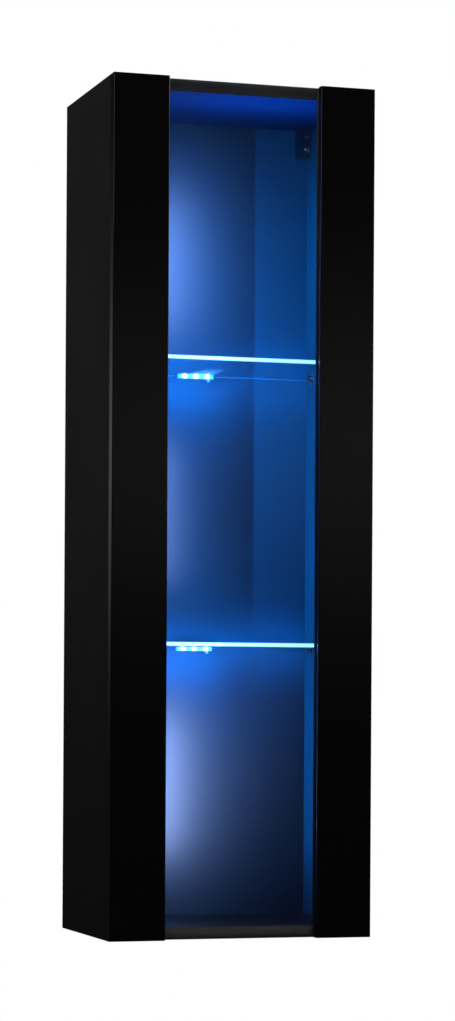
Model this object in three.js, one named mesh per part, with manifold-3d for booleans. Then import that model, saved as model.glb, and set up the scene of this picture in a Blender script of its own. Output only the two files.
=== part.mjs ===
// A hanging wall cabinet with a glazed, push-to-open door, two glass shelves lit from clips on their rear
// edges, and adjustable hangers in its top rear corners.
// Millimetres, +Z up, front towards -Y. The origin is on the wall plane, at the middle of the top board's
// rear edge.
import * as THREE from "three";
import { mergeVertices } from "three/addons/utils/BufferGeometryUtils.js";
import Module from "manifold-3d";

const wasm = await Module();
wasm.setup();

// ---------------------------------------------------------------- driving sizes
const WIDTH = 400;
const HEIGHT = 1260;
const DEPTH = 290; // wall to the front of the door
const BOARD = 18; // carcass board
const BACK_BOARD = 3;
const BACK_INSET = 16; // wall to the rear face of the back board
const GROOVE_DEPTH = 7;

const DOOR_THICKNESS = 18;
const DOOR_GAP = 2; // door to carcass
const STRIP_WIDTH = 84;
const STRIP_EDGE_RADIUS = 1.2;
const PANE = 4; // door glass
const PANE_LAP = 12; // how far the pane runs into each strip
const PANE_END_INSET = 2;

const SHELF_GLASS = 6;
const SHELF_SETBACK = 6; // shelf front edge behind the carcass front
const SHELF_SIDE_GAP = 1;
const SHELF_HEIGHTS = { lower: 430, upper: 851 }; // undersides above the cabinet's bottom

const BORE_CLEARANCE = 0.3; // any pin, cup or rod in its hole
const SEAT_GAP = 0.1; // faces that rest on each other
const SLIDE_CLEARANCE = 0.4; // parts that slide in a sleeve
const PAST = 1; // how far a cutting tool runs on past the face it enters by

// ---------------------------------------------------------------- places that follow from them
const TOP = BOARD / 2;
const BOTTOM = TOP - HEIGHT;
const FRONT = -DEPTH;
const DOOR_REAR = FRONT + DOOR_THICKNESS;
const CARCASS_FRONT = DOOR_REAR + DOOR_GAP;
const OUTER_X = WIDTH / 2;
const INNER_X = OUTER_X - BOARD;
const CEILING = TOP - BOARD;
const FLOOR = BOTTOM + BOARD;
const MIDDLE = (TOP + BOTTOM) / 2;
const BACK_FACE = -(BACK_INSET + BACK_BOARD); // face of the back board seen inside

// ---------------------------------------------------------------- finishes
const BOARD_BLACK = { color: 0x17171a, roughness: 0.6, metalness: 0 };
const GLOSS_BLACK = { color: 0x050506, roughness: 0.08, metalness: 0 };
const BACK_BLACK = { color: 0x1b1b20, roughness: 0.7, metalness: 0 };
const CLEAR_GLASS = { color: 0xcfe6ee, roughness: 0.02, metalness: 0, transparent: true, opacity: 0.35 };
const STEEL = { color: 0xb9bcc0, roughness: 0.3, metalness: 1 };
const ZINC = { color: 0x8f9296, roughness: 0.45, metalness: 1 };
const CLIP_PLASTIC = { color: 0xdfe3ea, roughness: 0.4, metalness: 0 };
const LAMP = { color: 0xbfd8ff, roughness: 0.3, metalness: 0, emissive: 0x3f7bff };
const GREY_PLASTIC = { color: 0x77797d, roughness: 0.5, metalness: 0 };
const SOFT_CLEAR = { color: 0xd8dcdc, roughness: 0.35, metalness: 0 };

// ---------------------------------------------------------------- solid helpers
// A closed three.js geometry as a solid that can be joined and cut.
function solid(geometry) {
  const bare = geometry.clone();
  bare.deleteAttribute("normal");
  bare.deleteAttribute("uv");
  const merged = mergeVertices(bare, 1e-4);
  return new wasm.Manifold(
    new wasm.Mesh({
      numProp: 3,
      vertProperties: merged.attributes.position.array,
      triVerts: new Uint32Array(merged.index.array),
    }),
  );
}

// A box from its limits on each axis, in either order.
function block([xa, xb], [ya, yb], [za, zb]) {
  const size = [Math.abs(xb - xa), Math.abs(yb - ya), Math.abs(zb - za)];
  const box = new THREE.BoxGeometry(...size);
  return solid(box.translate((xa + xb) / 2, (ya + yb) / 2, (za + zb) / 2));
}

// A round rod along "x", "y" or "z" between two values, through the point given by a vector.
function rod(axis, [from, to], { x = 0, y = 0, z = 0 }, radius, sides = 20) {
  const shape = new THREE.CylinderGeometry(radius, radius, Math.abs(to - from), sides);
  const middle = (from + to) / 2;
  if (axis === "x") shape.rotateZ(Math.PI / 2).translate(middle, y, z);
  if (axis === "y") shape.translate(x, middle, z);
  if (axis === "z") shape.rotateX(Math.PI / 2).translate(x, y, middle);
  return solid(shape);
}

// A flat outline in x and y, carried up z.
function plateAlongZ(outline, [from, to], curveSegments = 4) {
  const made = new THREE.ExtrudeGeometry(outline, { depth: to - from, bevelEnabled: false, curveSegments });
  return solid(made.translate(0, 0, from));
}

// A flat outline in y and z, carried along x.
function plateAlongX(outline, [from, to]) {
  const made = new THREE.ExtrudeGeometry(outline, { depth: to - from, bevelEnabled: false });
  const yzx = new THREE.Matrix4().makeBasis(
    new THREE.Vector3(0, 1, 0),
    new THREE.Vector3(0, 0, 1),
    new THREE.Vector3(1, 0, 0),
  );
  return solid(made.applyMatrix4(yzx).translate(from, 0, 0));
}

function outlineOf(points) {
  return new THREE.Shape(points.map(([u, v]) => new THREE.Vector2(u, v)));
}

const joined = (first, ...rest) => rest.reduce((body, next) => body.add(next), first);
const cut = (body, ...tools) => tools.reduce((left, tool) => left.subtract(tool), body);

// A cross recess in a screw head whose face is at y = face and looks towards -y.
function crossRecess({ x, z }, face, reach, depth) {
  const arm = reach / 3;
  const along = block([x - reach, x + reach], [face - PAST, face + depth], [z - arm / 2, z + arm / 2]);
  const across = block([x - arm / 2, x + arm / 2], [face - PAST, face + depth], [z - reach, z + reach]);
  return along.add(across);
}

// A named mesh from a solid, added to a group.
function piece(group, name, body, finish) {
  const { numProp, vertProperties, triVerts } = body.getMesh();
  if (numProp !== 3) throw new Error(name + " carries more than positions");
  const indexed = new THREE.BufferGeometry();
  indexed.setAttribute("position", new THREE.BufferAttribute(vertProperties, 3));
  indexed.setIndex(new THREE.BufferAttribute(triVerts, 1));
  const flat = indexed.toNonIndexed();
  flat.computeVertexNormals();
  const mesh = new THREE.Mesh(flat, new THREE.MeshStandardMaterial(finish));
  mesh.name = name;
  group.add(mesh);
}

function groupAt(parent, x, y, z) {
  const group = new THREE.Group();
  group.position.set(x, y, z);
  parent.add(group);
  return group;
}

const cabinet = new THREE.Group();

// ---------------------------------------------------------------- cabinet hangers: sizes
const HANGER = { width: 20, height: 44, depth: 20, wall: 1.6 };
const HANGER_DOWEL = { radius: 4.8, length: 9, drops: [12, 34] }; // drops below the ceiling
const HANGER_FRONT = BACK_FACE - SEAT_GAP - HANGER.depth;
const HANGER_MID_Y = HANGER_FRONT + HANGER.depth / 2;
const HOOK = { thickness: 2.5, inset: 13, play: 1 }; // inset from the side panel, play front and back
const HOOK_BODY = { bottom: 34 }; // drops below the ceiling
const HOOK_NECK = { top: 8, bottom: 16 };
const HOOK_TAB = { thickness: 3, bottom: 30, wallGap: 1.2 };
const HANGER_SCREW = { inset: 6.5, headRadius: 3.2, headLength: 2.4, proud: 0.4, shankRadius: 2, length: 14 };
const HANGER_RECESS = { reach: HANGER_SCREW.headRadius * 0.7, depth: 1.2 };
const HANGER_SCREW_DROPS = { depth: 12, height: 32 };
const NOTCH_SIDE = 2; // hanger width that still backs onto the back board
const NOTCH_FOOT = 3;

// ---------------------------------------------------------------- door hinges: sizes
const CUP = { radius: 17.5, depth: 12, wall: 1.2, rimToDoorEdge: 5 };
const CUP_FLANGE = { thickness: 1.2, margin: 1.5, reach: 11 }; // reach towards the door edge
const CUP_X = OUTER_X - CUP.rimToDoorEdge - CUP.radius;
const CUP_DOWEL = { radius: 4, length: 10, offset: 9.5, halfPitch: 22.5 };
const SWING_CLEARANCE = 0.35; // door's rear corner to the carcass as it swings past
// The door turns about an upright axis inside its outer edge, set so that the corner just clears.
const AXIS_FROM_FRONT = 6;
const CORNER_DEPTH = DOOR_THICKNESS - AXIS_FROM_FRONT;
const CORNER_REACH = CORNER_DEPTH + DOOR_GAP - SWING_CLEARANCE;
const AXIS_FROM_EDGE = Math.sqrt(CORNER_REACH ** 2 - CORNER_DEPTH ** 2);
const AXIS = { x: OUTER_X - AXIS_FROM_EDGE, y: FRONT + AXIS_FROM_FRONT };
// The link turns on a pin in the arm's nose, which dips into the cup.
const NOSE_REACH = 17;
const NOSE_ANGLE = THREE.MathUtils.degToRad(156);
const NOSE = { x: AXIS.x + NOSE_REACH * Math.cos(NOSE_ANGLE), y: AXIS.y + NOSE_REACH * Math.sin(NOSE_ANGLE) };
const LINK = { length: 14, arch: 6, thickness: 1.6, halfHeight: 5.8, eyeRadius: 2.7 };
const PIN_RADIUS = 1.2;
// The arm's top, foot and toe are measured off the side panel.
const ARM = { top: 13, web: 1.5, cheek: 1.5, halfHeight: 8.4, eyeRadius: 3 };
const ARM_CHEEK = { foot: 4.2, toe: 1.6, toeBehindFront: 3, kneeBehindFront: 1 };
const ARM_SPAN = { from: 12, to: 64 }; // behind the carcass front
const PLATE = { thickness: 3.5, halfHeight: 24, halfLength: 9, row: 37 };
const PLATE_RIB = { height: 9, halfHeight: 5.5, inset: 2 };
const PLATE_FLOOR = 1; // metal left under the screw hole
const PLATE_DOWEL = { radius: 2.5, length: 10.5, halfPitch: 16 };
const ARM_SCREW = { behindFront: 50, headRadius: 3.6, headHeight: 1.8, shankRadius: 1.9, tipGap: 2 };
const ARM_SCREW_SLOT = { reach: 2.6, halfWidth: 0.5, depth: 1 };
const HINGE_FROM_END = 100;
const HINGE_HEIGHTS = { upper: TOP - HINGE_FROM_END, middle: MIDDLE, lower: BOTTOM + HINGE_FROM_END };

// ---------------------------------------------------------------- shelf supports, lamps, latch: sizes
const PANEL_BEHIND_SHELF = 1; // lamp clip to the back board
const CLIP = { halfLength: 28, web: 1.2, lip: 4.5, wall: 3, slack: 0.15, endWall: 1.2 };
const EMITTER = { size: 5, height: 4, proud: 1.2, spacing: 18, gap: 0.4 };
const CIRCUIT = { thickness: 1, height: 5.6, halfLength: 26 };
const CLIP_DEPTH = CLIP.web + SEAT_GAP + CIRCUIT.thickness + EMITTER.proud + EMITTER.gap; // behind the glass
const WIRE_OUTLET = { x: 22, outer: 2.2, bore: 1.1, length: 4 };
const CLIP_REAR = BACK_FACE - PANEL_BEHIND_SHELF;
const SHELF_REAR = CLIP_REAR - CLIP_DEPTH;
const SHELF_FRONT = CARCASS_FRONT + SHELF_SETBACK;

const SUPPORT = { pinRadius: 2.4, pinLength: 8, pinDrop: 4.8, collarRadius: 4.2, collar: 1.5 };
const TONGUE = { width: 10, length: 11, thickness: 3 };
const PAD = { radius: 4, thickness: 0.7 };
const SUPPORT_FROM_EDGE = 30;
const SUPPORT_ROWS = { front: SHELF_FRONT + SUPPORT_FROM_EDGE, rear: SHELF_REAR - SUPPORT_FROM_EDGE };

const LATCH = { width: 14, length: 68, halfHeight: 8, baseHalfHeight: 17, base: 2, setback: 2, endWall: 3 };
const PLUNGER = { radius: 3.8, length: 50, tipGap: 0.3, tipTaper: 0.3 }; // taper: share of the radius
const LATCH_X = -(INNER_X - LATCH.width / 2);
const LATCH_BASE_SPAN = { from: 12, to: 34 }; // behind the carcass front
const STRIKE = { radius: 7, thickness: 0.8 };
const BUMPER = { radius: 4, fromEnd: 40, slack: 0.3 };

// ---------------------------------------------------------------- carcass fasteners: sizes
const CAM = { radius: 7.3, height: 12.4, fromPanelEnd: 34, slotWidth: 5, slotDepth: 8, recess: 3 };
const CAM_RECESS_REACH = CAM.radius * 0.6;
const CAM_ROWS = { front: CARCASS_FRONT + 45, rear: -60 };
const LEAD_HOLE = { radius: 6, x: -150, rise: 30 };

// ---------------------------------------------------------------- carcass
// The groove that takes the back board, in a board whose inner face is at "face" along x or z.
const GROOVE_Y = [-BACK_INSET + BORE_CLEARANCE, BACK_FACE - BORE_CLEARANCE];
const GROOVE_X = INNER_X + GROOVE_DEPTH;
const GROOVE_Z = [FLOOR - GROOVE_DEPTH, CEILING + GROOVE_DEPTH];

function sidePanel(side) {
  const wall = (inset) => side * (INNER_X - inset); // a distance in from the inner face
  const panel = block([side * INNER_X, side * OUTER_X], [CARCASS_FRONT, 0], [BOTTOM, TOP]);
  const groove = block([wall(PAST), side * GROOVE_X], GROOVE_Y, GROOVE_Z);
  const bores = [];
  for (const height of Object.values(SHELF_HEIGHTS))
    for (const y of Object.values(SUPPORT_ROWS)) {
      const at = { y, z: BOTTOM + height - SUPPORT.pinDrop };
      const depth = SUPPORT.pinLength + BORE_CLEARANCE;
      bores.push(rod("x", [wall(PAST), wall(-depth)], at, SUPPORT.pinRadius + BORE_CLEARANCE, 12));
    }
  for (const drop of HANGER_DOWEL.drops) {
    const at = { y: HANGER_MID_Y, z: CEILING - drop };
    const depth = HANGER_DOWEL.length + BORE_CLEARANCE;
    bores.push(rod("x", [wall(PAST), wall(-depth)], at, HANGER_DOWEL.radius + BORE_CLEARANCE, 16));
  }
  if (side > 0)
    for (const z of Object.values(HINGE_HEIGHTS))
      for (const up of [-1, 1]) {
        const at = { y: CARCASS_FRONT + PLATE.row, z: z + up * PLATE_DOWEL.halfPitch };
        const depth = PLATE_DOWEL.length + BORE_CLEARANCE;
        bores.push(rod("x", [wall(PAST), wall(-depth)], at, PLATE_DOWEL.radius + BORE_CLEARANCE, 12));
      }
  return cut(panel, groove, ...bores);
}

// The top and bottom boards run between the sides. up is 1 for the top board.
function levelPanel(up) {
  const outer = up > 0 ? TOP : BOTTOM;
  const inner = outer - up * BOARD;
  const half = INNER_X - SEAT_GAP;
  const panel = block([-half, half], [CARCASS_FRONT, 0], [inner, outer]);
  const groove = block([-half - PAST, half + PAST], GROOVE_Y, [inner - up * PAST, inner + up * GROOVE_DEPTH]);
  const bores = [];
  for (const side of [-1, 1])
    for (const y of Object.values(CAM_ROWS)) {
      const at = { x: side * (half - CAM.fromPanelEnd), y };
      const depth = CAM.height + 2 * BORE_CLEARANCE;
      bores.push(rod("z", [outer + up * PAST, outer - up * depth], at, CAM.radius + BORE_CLEARANCE));
    }
  return cut(panel, groove, ...bores);
}

function backPanel() {
  const halfWidth = GROOVE_X - BORE_CLEARANCE;
  const rows = [GROOVE_Z[0] + BORE_CLEARANCE, GROOVE_Z[1] - BORE_CLEARANCE];
  const through = [BACK_FACE - PAST, -BACK_INSET + PAST];
  const panel = block([-halfWidth, halfWidth], [BACK_FACE, -BACK_INSET], rows);
  const notches = [-1, 1].map((side) => {
    const inner = side * (INNER_X - HANGER.width + NOTCH_SIDE);
    const span = [CEILING - HANGER.height + NOTCH_FOOT, rows[1] + PAST];
    return block([inner, side * (halfWidth + PAST)], through, span);
  });
  const leadHole = rod("y", through, { x: LEAD_HOLE.x, z: FLOOR + LEAD_HOLE.rise }, LEAD_HOLE.radius);
  return cut(panel, ...notches, leadHole);
}

piece(cabinet, "side_panel_left", sidePanel(-1), BOARD_BLACK);
piece(cabinet, "side_panel_right", sidePanel(1), BOARD_BLACK);
piece(cabinet, "top_panel", levelPanel(1), BOARD_BLACK);
piece(cabinet, "bottom_panel", levelPanel(-1), BOARD_BLACK);
piece(cabinet, "back_panel", backPanel(), BACK_BLACK);

// A cam fastener, its driven face at z = 0 looking up and its bolt slot towards +x.
function camBody() {
  const drum = rod("z", [-CAM.height, 0], {}, CAM.radius);
  const reach = [-CAM_RECESS_REACH, CAM_RECESS_REACH];
  const arm = reach.map((end) => end / 3);
  const deep = [-CAM.recess, PAST];
  const slotFoot = -CAM.height + CAM.slotWidth / 2;
  const slot = block(
    [CAM.radius + PAST, CAM.radius - CAM.slotDepth],
    [-CAM.slotWidth / 2, CAM.slotWidth / 2],
    [slotFoot, slotFoot + CAM.slotWidth],
  );
  return cut(drum, block(reach, arm, deep), block(arm, reach, deep), slot);
}

function addCams() {
  const body = camBody();
  for (const [level, up] of [["top", 1], ["bottom", -1]])
    for (const [sideName, side] of [["left", -1], ["right", 1]])
      for (const [row, y] of Object.entries(CAM_ROWS)) {
        const x = side * (INNER_X - SEAT_GAP - CAM.fromPanelEnd);
        const outer = up > 0 ? TOP : BOTTOM;
        const place = groupAt(cabinet, x, y, outer - up * BORE_CLEARANCE);
        if (side < 0) place.rotation.z = Math.PI;
        if (up < 0) place.rotation.x = Math.PI;
        piece(place, `cam_${level}_${sideName}_${row}`, body, ZINC);
      }
}
addCams();

// ---------------------------------------------------------------- door
function doorStrip(side) {
  const inner = OUTER_X - STRIP_WIDTH;
  const r = STRIP_EDGE_RADIUS;
  const outline = new THREE.Shape();
  outline.moveTo(inner, DOOR_REAR);
  outline.lineTo(inner, FRONT + r);
  outline.absarc(inner + r, FRONT + r, r, Math.PI, 1.5 * Math.PI, false);
  outline.lineTo(OUTER_X - r, FRONT);
  outline.absarc(OUTER_X - r, FRONT + r, r, -0.5 * Math.PI, 0, false);
  outline.lineTo(OUTER_X, DOOR_REAR);
  outline.closePath();
  const stile = plateAlongZ(outline, [BOTTOM, TOP]);
  const rebate = block(
    [inner - PAST, inner + PANE_LAP + BORE_CLEARANCE],
    [DOOR_REAR - PANE - SEAT_GAP - BORE_CLEARANCE, DOOR_REAR + PAST],
    [BOTTOM - PAST, TOP + PAST],
  );
  const shaped = cut(stile, rebate);
  if (side < 0) return shaped.mirror([1, 0, 0]);
  const bore = (x, z, depth, radius, sides) =>
    rod("y", [DOOR_REAR + PAST, DOOR_REAR - depth - BORE_CLEARANCE], { x, z }, radius + BORE_CLEARANCE, sides);
  const bores = Object.values(HINGE_HEIGHTS).flatMap((z) => [
    bore(CUP_X, z, CUP.depth, CUP.radius, 32),
    ...[-1, 1].map((up) =>
      bore(CUP_X - CUP_DOWEL.offset, z + up * CUP_DOWEL.halfPitch, CUP_DOWEL.length, CUP_DOWEL.radius, 16),
    ),
  ]);
  return cut(shaped, ...bores);
}

const paneHalf = OUTER_X - STRIP_WIDTH + PANE_LAP;
const paneRear = DOOR_REAR - SEAT_GAP;
const pane = block(
  [-paneHalf, paneHalf],
  [paneRear - PANE, paneRear],
  [BOTTOM + PANE_END_INSET, TOP - PANE_END_INSET],
);
piece(cabinet, "door_strip_left", doorStrip(-1), GLOSS_BLACK);
piece(cabinet, "door_strip_right", doorStrip(1), GLOSS_BLACK);
piece(cabinet, "door_glass", pane, CLEAR_GLASS);

// ---------------------------------------------------------------- hinges, each made about z = 0
function hingeCup() {
  const rimTop = DOOR_REAR + SEAT_GAP + CUP_FLANGE.thickness;
  const floor = DOOR_REAR - CUP.depth;
  const centre = { x: CUP_X, z: 0 };
  const past = CUP_DOWEL.radius + CUP_FLANGE.margin;
  const wing = CUP_DOWEL.halfPitch + past;
  const flange = block(
    [CUP_X - CUP_DOWEL.offset - past, CUP_X + CUP_FLANGE.reach],
    [DOOR_REAR + SEAT_GAP, rimTop],
    [-wing, wing],
  );
  const dowels = [-1, 1].map((up) =>
    rod(
      "y",
      [DOOR_REAR - CUP_DOWEL.length, rimTop],
      { x: CUP_X - CUP_DOWEL.offset, z: up * CUP_DOWEL.halfPitch },
      CUP_DOWEL.radius,
      16,
    ),
  );
  const shell = joined(rod("y", [floor, rimTop], centre, CUP.radius, 32), flange, ...dowels);
  return cut(shell, rod("y", [floor + CUP.wall, rimTop + PAST], centre, CUP.radius - CUP.wall, 32));
}

function hingeArm() {
  const off = (distance) => INNER_X - distance; // a distance off the side panel
  const back = CARCASS_FRONT + ARM_SPAN.to;
  const start = CARCASS_FRONT + ARM_SPAN.from;
  const inside = ARM.halfHeight - ARM.cheek;
  const web = block([off(ARM.top), off(ARM.top - ARM.web)], [start, back], [-ARM.halfHeight, ARM.halfHeight]);
  const outline = new THREE.Shape();
  outline.moveTo(off(ARM.top), back);
  outline.lineTo(off(ARM.top), CARCASS_FRONT + ARM_CHEEK.kneeBehindFront);
  outline.lineTo(NOSE.x - ARM.eyeRadius, NOSE.y);
  outline.absarc(NOSE.x, NOSE.y, ARM.eyeRadius, Math.PI, 2 * Math.PI, false);
  outline.lineTo(off(ARM_CHEEK.toe), CARCASS_FRONT + ARM_CHEEK.toeBehindFront);
  outline.lineTo(off(ARM_CHEEK.foot), start);
  outline.lineTo(off(ARM_CHEEK.foot), back);
  outline.closePath();
  const cheeks = [
    plateAlongZ(outline, [inside, ARM.halfHeight]),
    plateAlongZ(outline, [-ARM.halfHeight, -inside]),
  ];
  const pin = rod("z", [-ARM.halfHeight, ARM.halfHeight], NOSE, PIN_RADIUS, 12);
  const screwHole = rod(
    "x",
    [off(ARM.top + PAST), off(ARM.top - ARM.web - PAST)],
    { y: CARCASS_FRONT + ARM_SCREW.behindFront },
    ARM_SCREW.shankRadius + BORE_CLEARANCE,
    12,
  );
  return cut(joined(web, ...cheeks, pin), screwHole);
}

// The link is a strip bent in an arch, lying across the cup when the door is shut.
function hingeLink() {
  const steps = 8;
  const ridge = (t, offset) => [
    NOSE.x - LINK.length * t,
    NOSE.y + 4 * LINK.arch * t * (1 - t) + offset,
  ];
  const rise = LINK.thickness / 2;
  const ts = Array.from({ length: steps + 1 }, (_, i) => i / steps);
  const outline = outlineOf([
    ...ts.map((t) => ridge(t, rise)),
    ...ts.reverse().map((t) => ridge(t, -rise)),
  ]);
  const span = [-LINK.halfHeight, LINK.halfHeight];
  const strip = plateAlongZ(outline, span).add(rod("z", span, NOSE, LINK.eyeRadius, 16));
  return strip.subtract(rod("z", [span[0] - PAST, span[1] + PAST], NOSE, PIN_RADIUS + BORE_CLEARANCE, 12));
}

function hingePlate() {
  const off = (distance) => INNER_X - distance;
  const row = CARCASS_FRONT + PLATE.row;
  const ribSpan = [
    CARCASS_FRONT + ARM_SPAN.from + PLATE_RIB.inset,
    CARCASS_FRONT + ARM_SPAN.to - PLATE_RIB.inset,
  ];
  const wings = block(
    [off(SEAT_GAP), off(PLATE.thickness)],
    [row - PLATE.halfLength, row + PLATE.halfLength],
    [-PLATE.halfHeight, PLATE.halfHeight],
  );
  const ribHigh = [-PLATE_RIB.halfHeight, PLATE_RIB.halfHeight];
  const rib = block([off(SEAT_GAP), off(PLATE_RIB.height)], ribSpan, ribHigh);
  const dowels = [-1, 1].map((up) =>
    rod(
      "x",
      [off(PLATE.thickness), off(-PLATE_DOWEL.length)],
      { y: row, z: up * PLATE_DOWEL.halfPitch },
      PLATE_DOWEL.radius,
      12,
    ),
  );
  const thread = rod(
    "x",
    [off(PLATE_RIB.height + PAST), off(PLATE_FLOOR)],
    { y: CARCASS_FRONT + ARM_SCREW.behindFront },
    ARM_SCREW.shankRadius + BORE_CLEARANCE,
    12,
  );
  return cut(joined(wings, rib, ...dowels), thread);
}

function hingeScrew() {
  const at = { y: CARCASS_FRONT + ARM_SCREW.behindFront };
  const seat = INNER_X - ARM.top - SEAT_GAP;
  const face = seat - ARM_SCREW.headHeight;
  const head = rod("x", [face, seat], at, ARM_SCREW.headRadius, 16);
  const shank = rod("x", [seat, INNER_X - ARM_SCREW.tipGap], at, ARM_SCREW.shankRadius, 12);
  const { reach, halfWidth, depth } = ARM_SCREW_SLOT;
  const slots = [[reach, halfWidth], [halfWidth, reach]].map(([long, high]) =>
    block([face - PAST, face + depth], [at.y - long, at.y + long], [-high, high]),
  );
  return cut(head.add(shank), ...slots);
}

for (const [place, z] of Object.entries(HINGE_HEIGHTS)) {
  const hinge = groupAt(cabinet, 0, 0, z);
  piece(hinge, `hinge_cup_${place}`, hingeCup(), STEEL);
  piece(hinge, `hinge_arm_${place}`, hingeArm(), STEEL);
  piece(hinge, `hinge_link_${place}`, hingeLink(), STEEL);
  piece(hinge, `hinge_plate_${place}`, hingePlate(), STEEL);
  piece(hinge, `hinge_screw_${place}`, hingeScrew(), STEEL);
}

// ---------------------------------------------------------------- push latch and buffers
const latchFront = CARCASS_FRONT + LATCH.setback;
const plungerTip = DOOR_REAR + SEAT_GAP + STRIKE.thickness + PLUNGER.tipGap;
const latch = groupAt(cabinet, LATCH_X, 0, MIDDLE);
const latchWall = -(INNER_X + LATCH_X) + SEAT_GAP; // the side panel's face, seen from the plunger's axis

function latchHousing() {
  const half = LATCH.width / 2;
  const latchRear = latchFront + LATCH.length;
  const body = block([latchWall, half], [latchFront, latchRear], [-LATCH.halfHeight, LATCH.halfHeight]);
  const base = block(
    [latchWall, latchWall + LATCH.base],
    [CARCASS_FRONT + LATCH_BASE_SPAN.from, CARCASS_FRONT + LATCH_BASE_SPAN.to],
    [-LATCH.baseHalfHeight, LATCH.baseHalfHeight],
  );
  const bore = rod("y", [latchFront - PAST, latchRear - LATCH.endWall], {}, PLUNGER.radius + SLIDE_CLEARANCE);
  return cut(body.add(base), bore);
}

function latchPlunger() {
  const r = PLUNGER.radius;
  const profile = [
    [0, 0],
    [r * (1 - PLUNGER.tipTaper), 0],
    [r, r * PLUNGER.tipTaper],
    [r, PLUNGER.length],
    [0, PLUNGER.length],
  ].map(([radius, along]) => new THREE.Vector2(radius, along));
  return solid(new THREE.LatheGeometry(profile, 20).translate(0, plungerTip, 0));
}

const strikeSeat = DOOR_REAR + SEAT_GAP;
piece(latch, "push_latch_housing", latchHousing(), GREY_PLASTIC);
piece(latch, "push_latch_plunger", latchPlunger(), GREY_PLASTIC);
const strike = rod("y", [strikeSeat, strikeSeat + STRIKE.thickness], {}, STRIKE.radius, 24);
piece(latch, "strike_plate", strike, STEEL);

const bumperX = -(OUTER_X - BOARD / 2);
const bumperSpan = [DOOR_REAR + BUMPER.slack, CARCASS_FRONT - SEAT_GAP];
for (const [place, z] of [["upper", TOP - BUMPER.fromEnd], ["lower", BOTTOM + BUMPER.fromEnd]]) {
  const body = rod("y", bumperSpan, { x: bumperX, z }, BUMPER.radius, 16);
  piece(cabinet, `door_bumper_${place}`, body, SOFT_CLEAR);
}

// ---------------------------------------------------------------- shelves, their supports and their lamps
const shelfHalf = INNER_X - SHELF_SIDE_GAP;

// A support with its pin along +x, the side panel's face at x = 0 and the glass resting at z = 0.
function supportBody() {
  const padTop = -SEAT_GAP;
  const tongueTop = padTop - PAD.thickness;
  const tongueX = [-TONGUE.length + TONGUE.width / 2, -SEAT_GAP];
  const pinAt = { z: -SUPPORT.pinDrop };
  const tongueZ = [tongueTop - TONGUE.thickness, tongueTop];
  const nose = { x: tongueX[0], y: 0 };
  return joined(
    rod("x", [-SEAT_GAP, SUPPORT.pinLength], pinAt, SUPPORT.pinRadius, 12),
    rod("x", [-SEAT_GAP - SUPPORT.collar, -SEAT_GAP], pinAt, SUPPORT.collarRadius, 16),
    block(tongueX, [-TONGUE.width / 2, TONGUE.width / 2], tongueZ),
    rod("z", tongueZ, nose, TONGUE.width / 2, 16),
    rod("z", [tongueTop - TONGUE.thickness / 3, padTop], nose, PAD.radius, 16),
  );
}

function lampClip() {
  const bottom = -CLIP.slack - CLIP.wall;
  const top = SHELF_GLASS + CLIP.slack + CLIP.wall;
  const lipFront = SHELF_REAR - CLIP.lip;
  const channel = outlineOf([
    [CLIP_REAR, bottom],
    [CLIP_REAR, top],
    [lipFront, top],
    [lipFront, top - CLIP.wall],
    [CLIP_REAR - CLIP.web, top - CLIP.wall],
    [CLIP_REAR - CLIP.web, bottom + CLIP.wall],
    [lipFront, bottom + CLIP.wall],
    [lipFront, bottom],
  ]);
  const ends = [-1, 1].map((side) =>
    block(
      [side * CLIP.halfLength, side * (CLIP.halfLength - CLIP.endWall)],
      [CLIP_REAR, SHELF_REAR + EMITTER.gap],
      [bottom, top],
    ),
  );
  const outletAt = { x: WIRE_OUTLET.x, y: CLIP_REAR - WIRE_OUTLET.outer };
  const end = bottom - WIRE_OUTLET.length;
  const outlet = rod("z", [end, bottom + CLIP.wall / 2], outletAt, WIRE_OUTLET.outer, 12);
  const bore = rod("z", [end - PAST, bottom + CLIP.wall + CLIP.slack], outletAt, WIRE_OUTLET.bore, 12);
  const body = plateAlongX(channel, [-CLIP.halfLength, CLIP.halfLength]);
  return cut(joined(body, ...ends, outlet), bore);
}

function lampStrip() {
  const rear = CLIP_REAR - CLIP.web - SEAT_GAP;
  const face = rear - CIRCUIT.thickness;
  const middle = SHELF_GLASS / 2;
  const rows = [middle - CIRCUIT.height / 2, middle + CIRCUIT.height / 2];
  const circuit = block([-CIRCUIT.halfLength, CIRCUIT.halfLength], [face, rear], rows);
  const emitters = [-1, 0, 1].map((step) => {
    const x = step * EMITTER.spacing;
    const span = [middle - EMITTER.height / 2, middle + EMITTER.height / 2];
    const deep = [face - EMITTER.proud, face + CIRCUIT.thickness / 2];
    return block([x - EMITTER.size / 2, x + EMITTER.size / 2], deep, span);
  });
  return joined(circuit, ...emitters);
}

for (const [place, height] of Object.entries(SHELF_HEIGHTS)) {
  const shelf = groupAt(cabinet, 0, 0, BOTTOM + height);
  const glass = block([-shelfHalf, shelfHalf], [SHELF_FRONT, SHELF_REAR], [0, SHELF_GLASS]);
  piece(shelf, `glass_shelf_${place}`, glass, CLEAR_GLASS);
  for (const [sideName, side] of [["left", -1], ["right", 1]])
    for (const [row, y] of Object.entries(SUPPORT_ROWS)) {
      const support = groupAt(shelf, side * INNER_X, y, 0);
      if (side < 0) support.rotation.z = Math.PI;
      piece(support, `shelf_support_${place}_${sideName}_${row}`, supportBody(), STEEL);
    }
  piece(shelf, `led_clip_${place}`, lampClip(), CLIP_PLASTIC);
  piece(shelf, `led_strip_${place}`, lampStrip(), LAMP);
}

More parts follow.
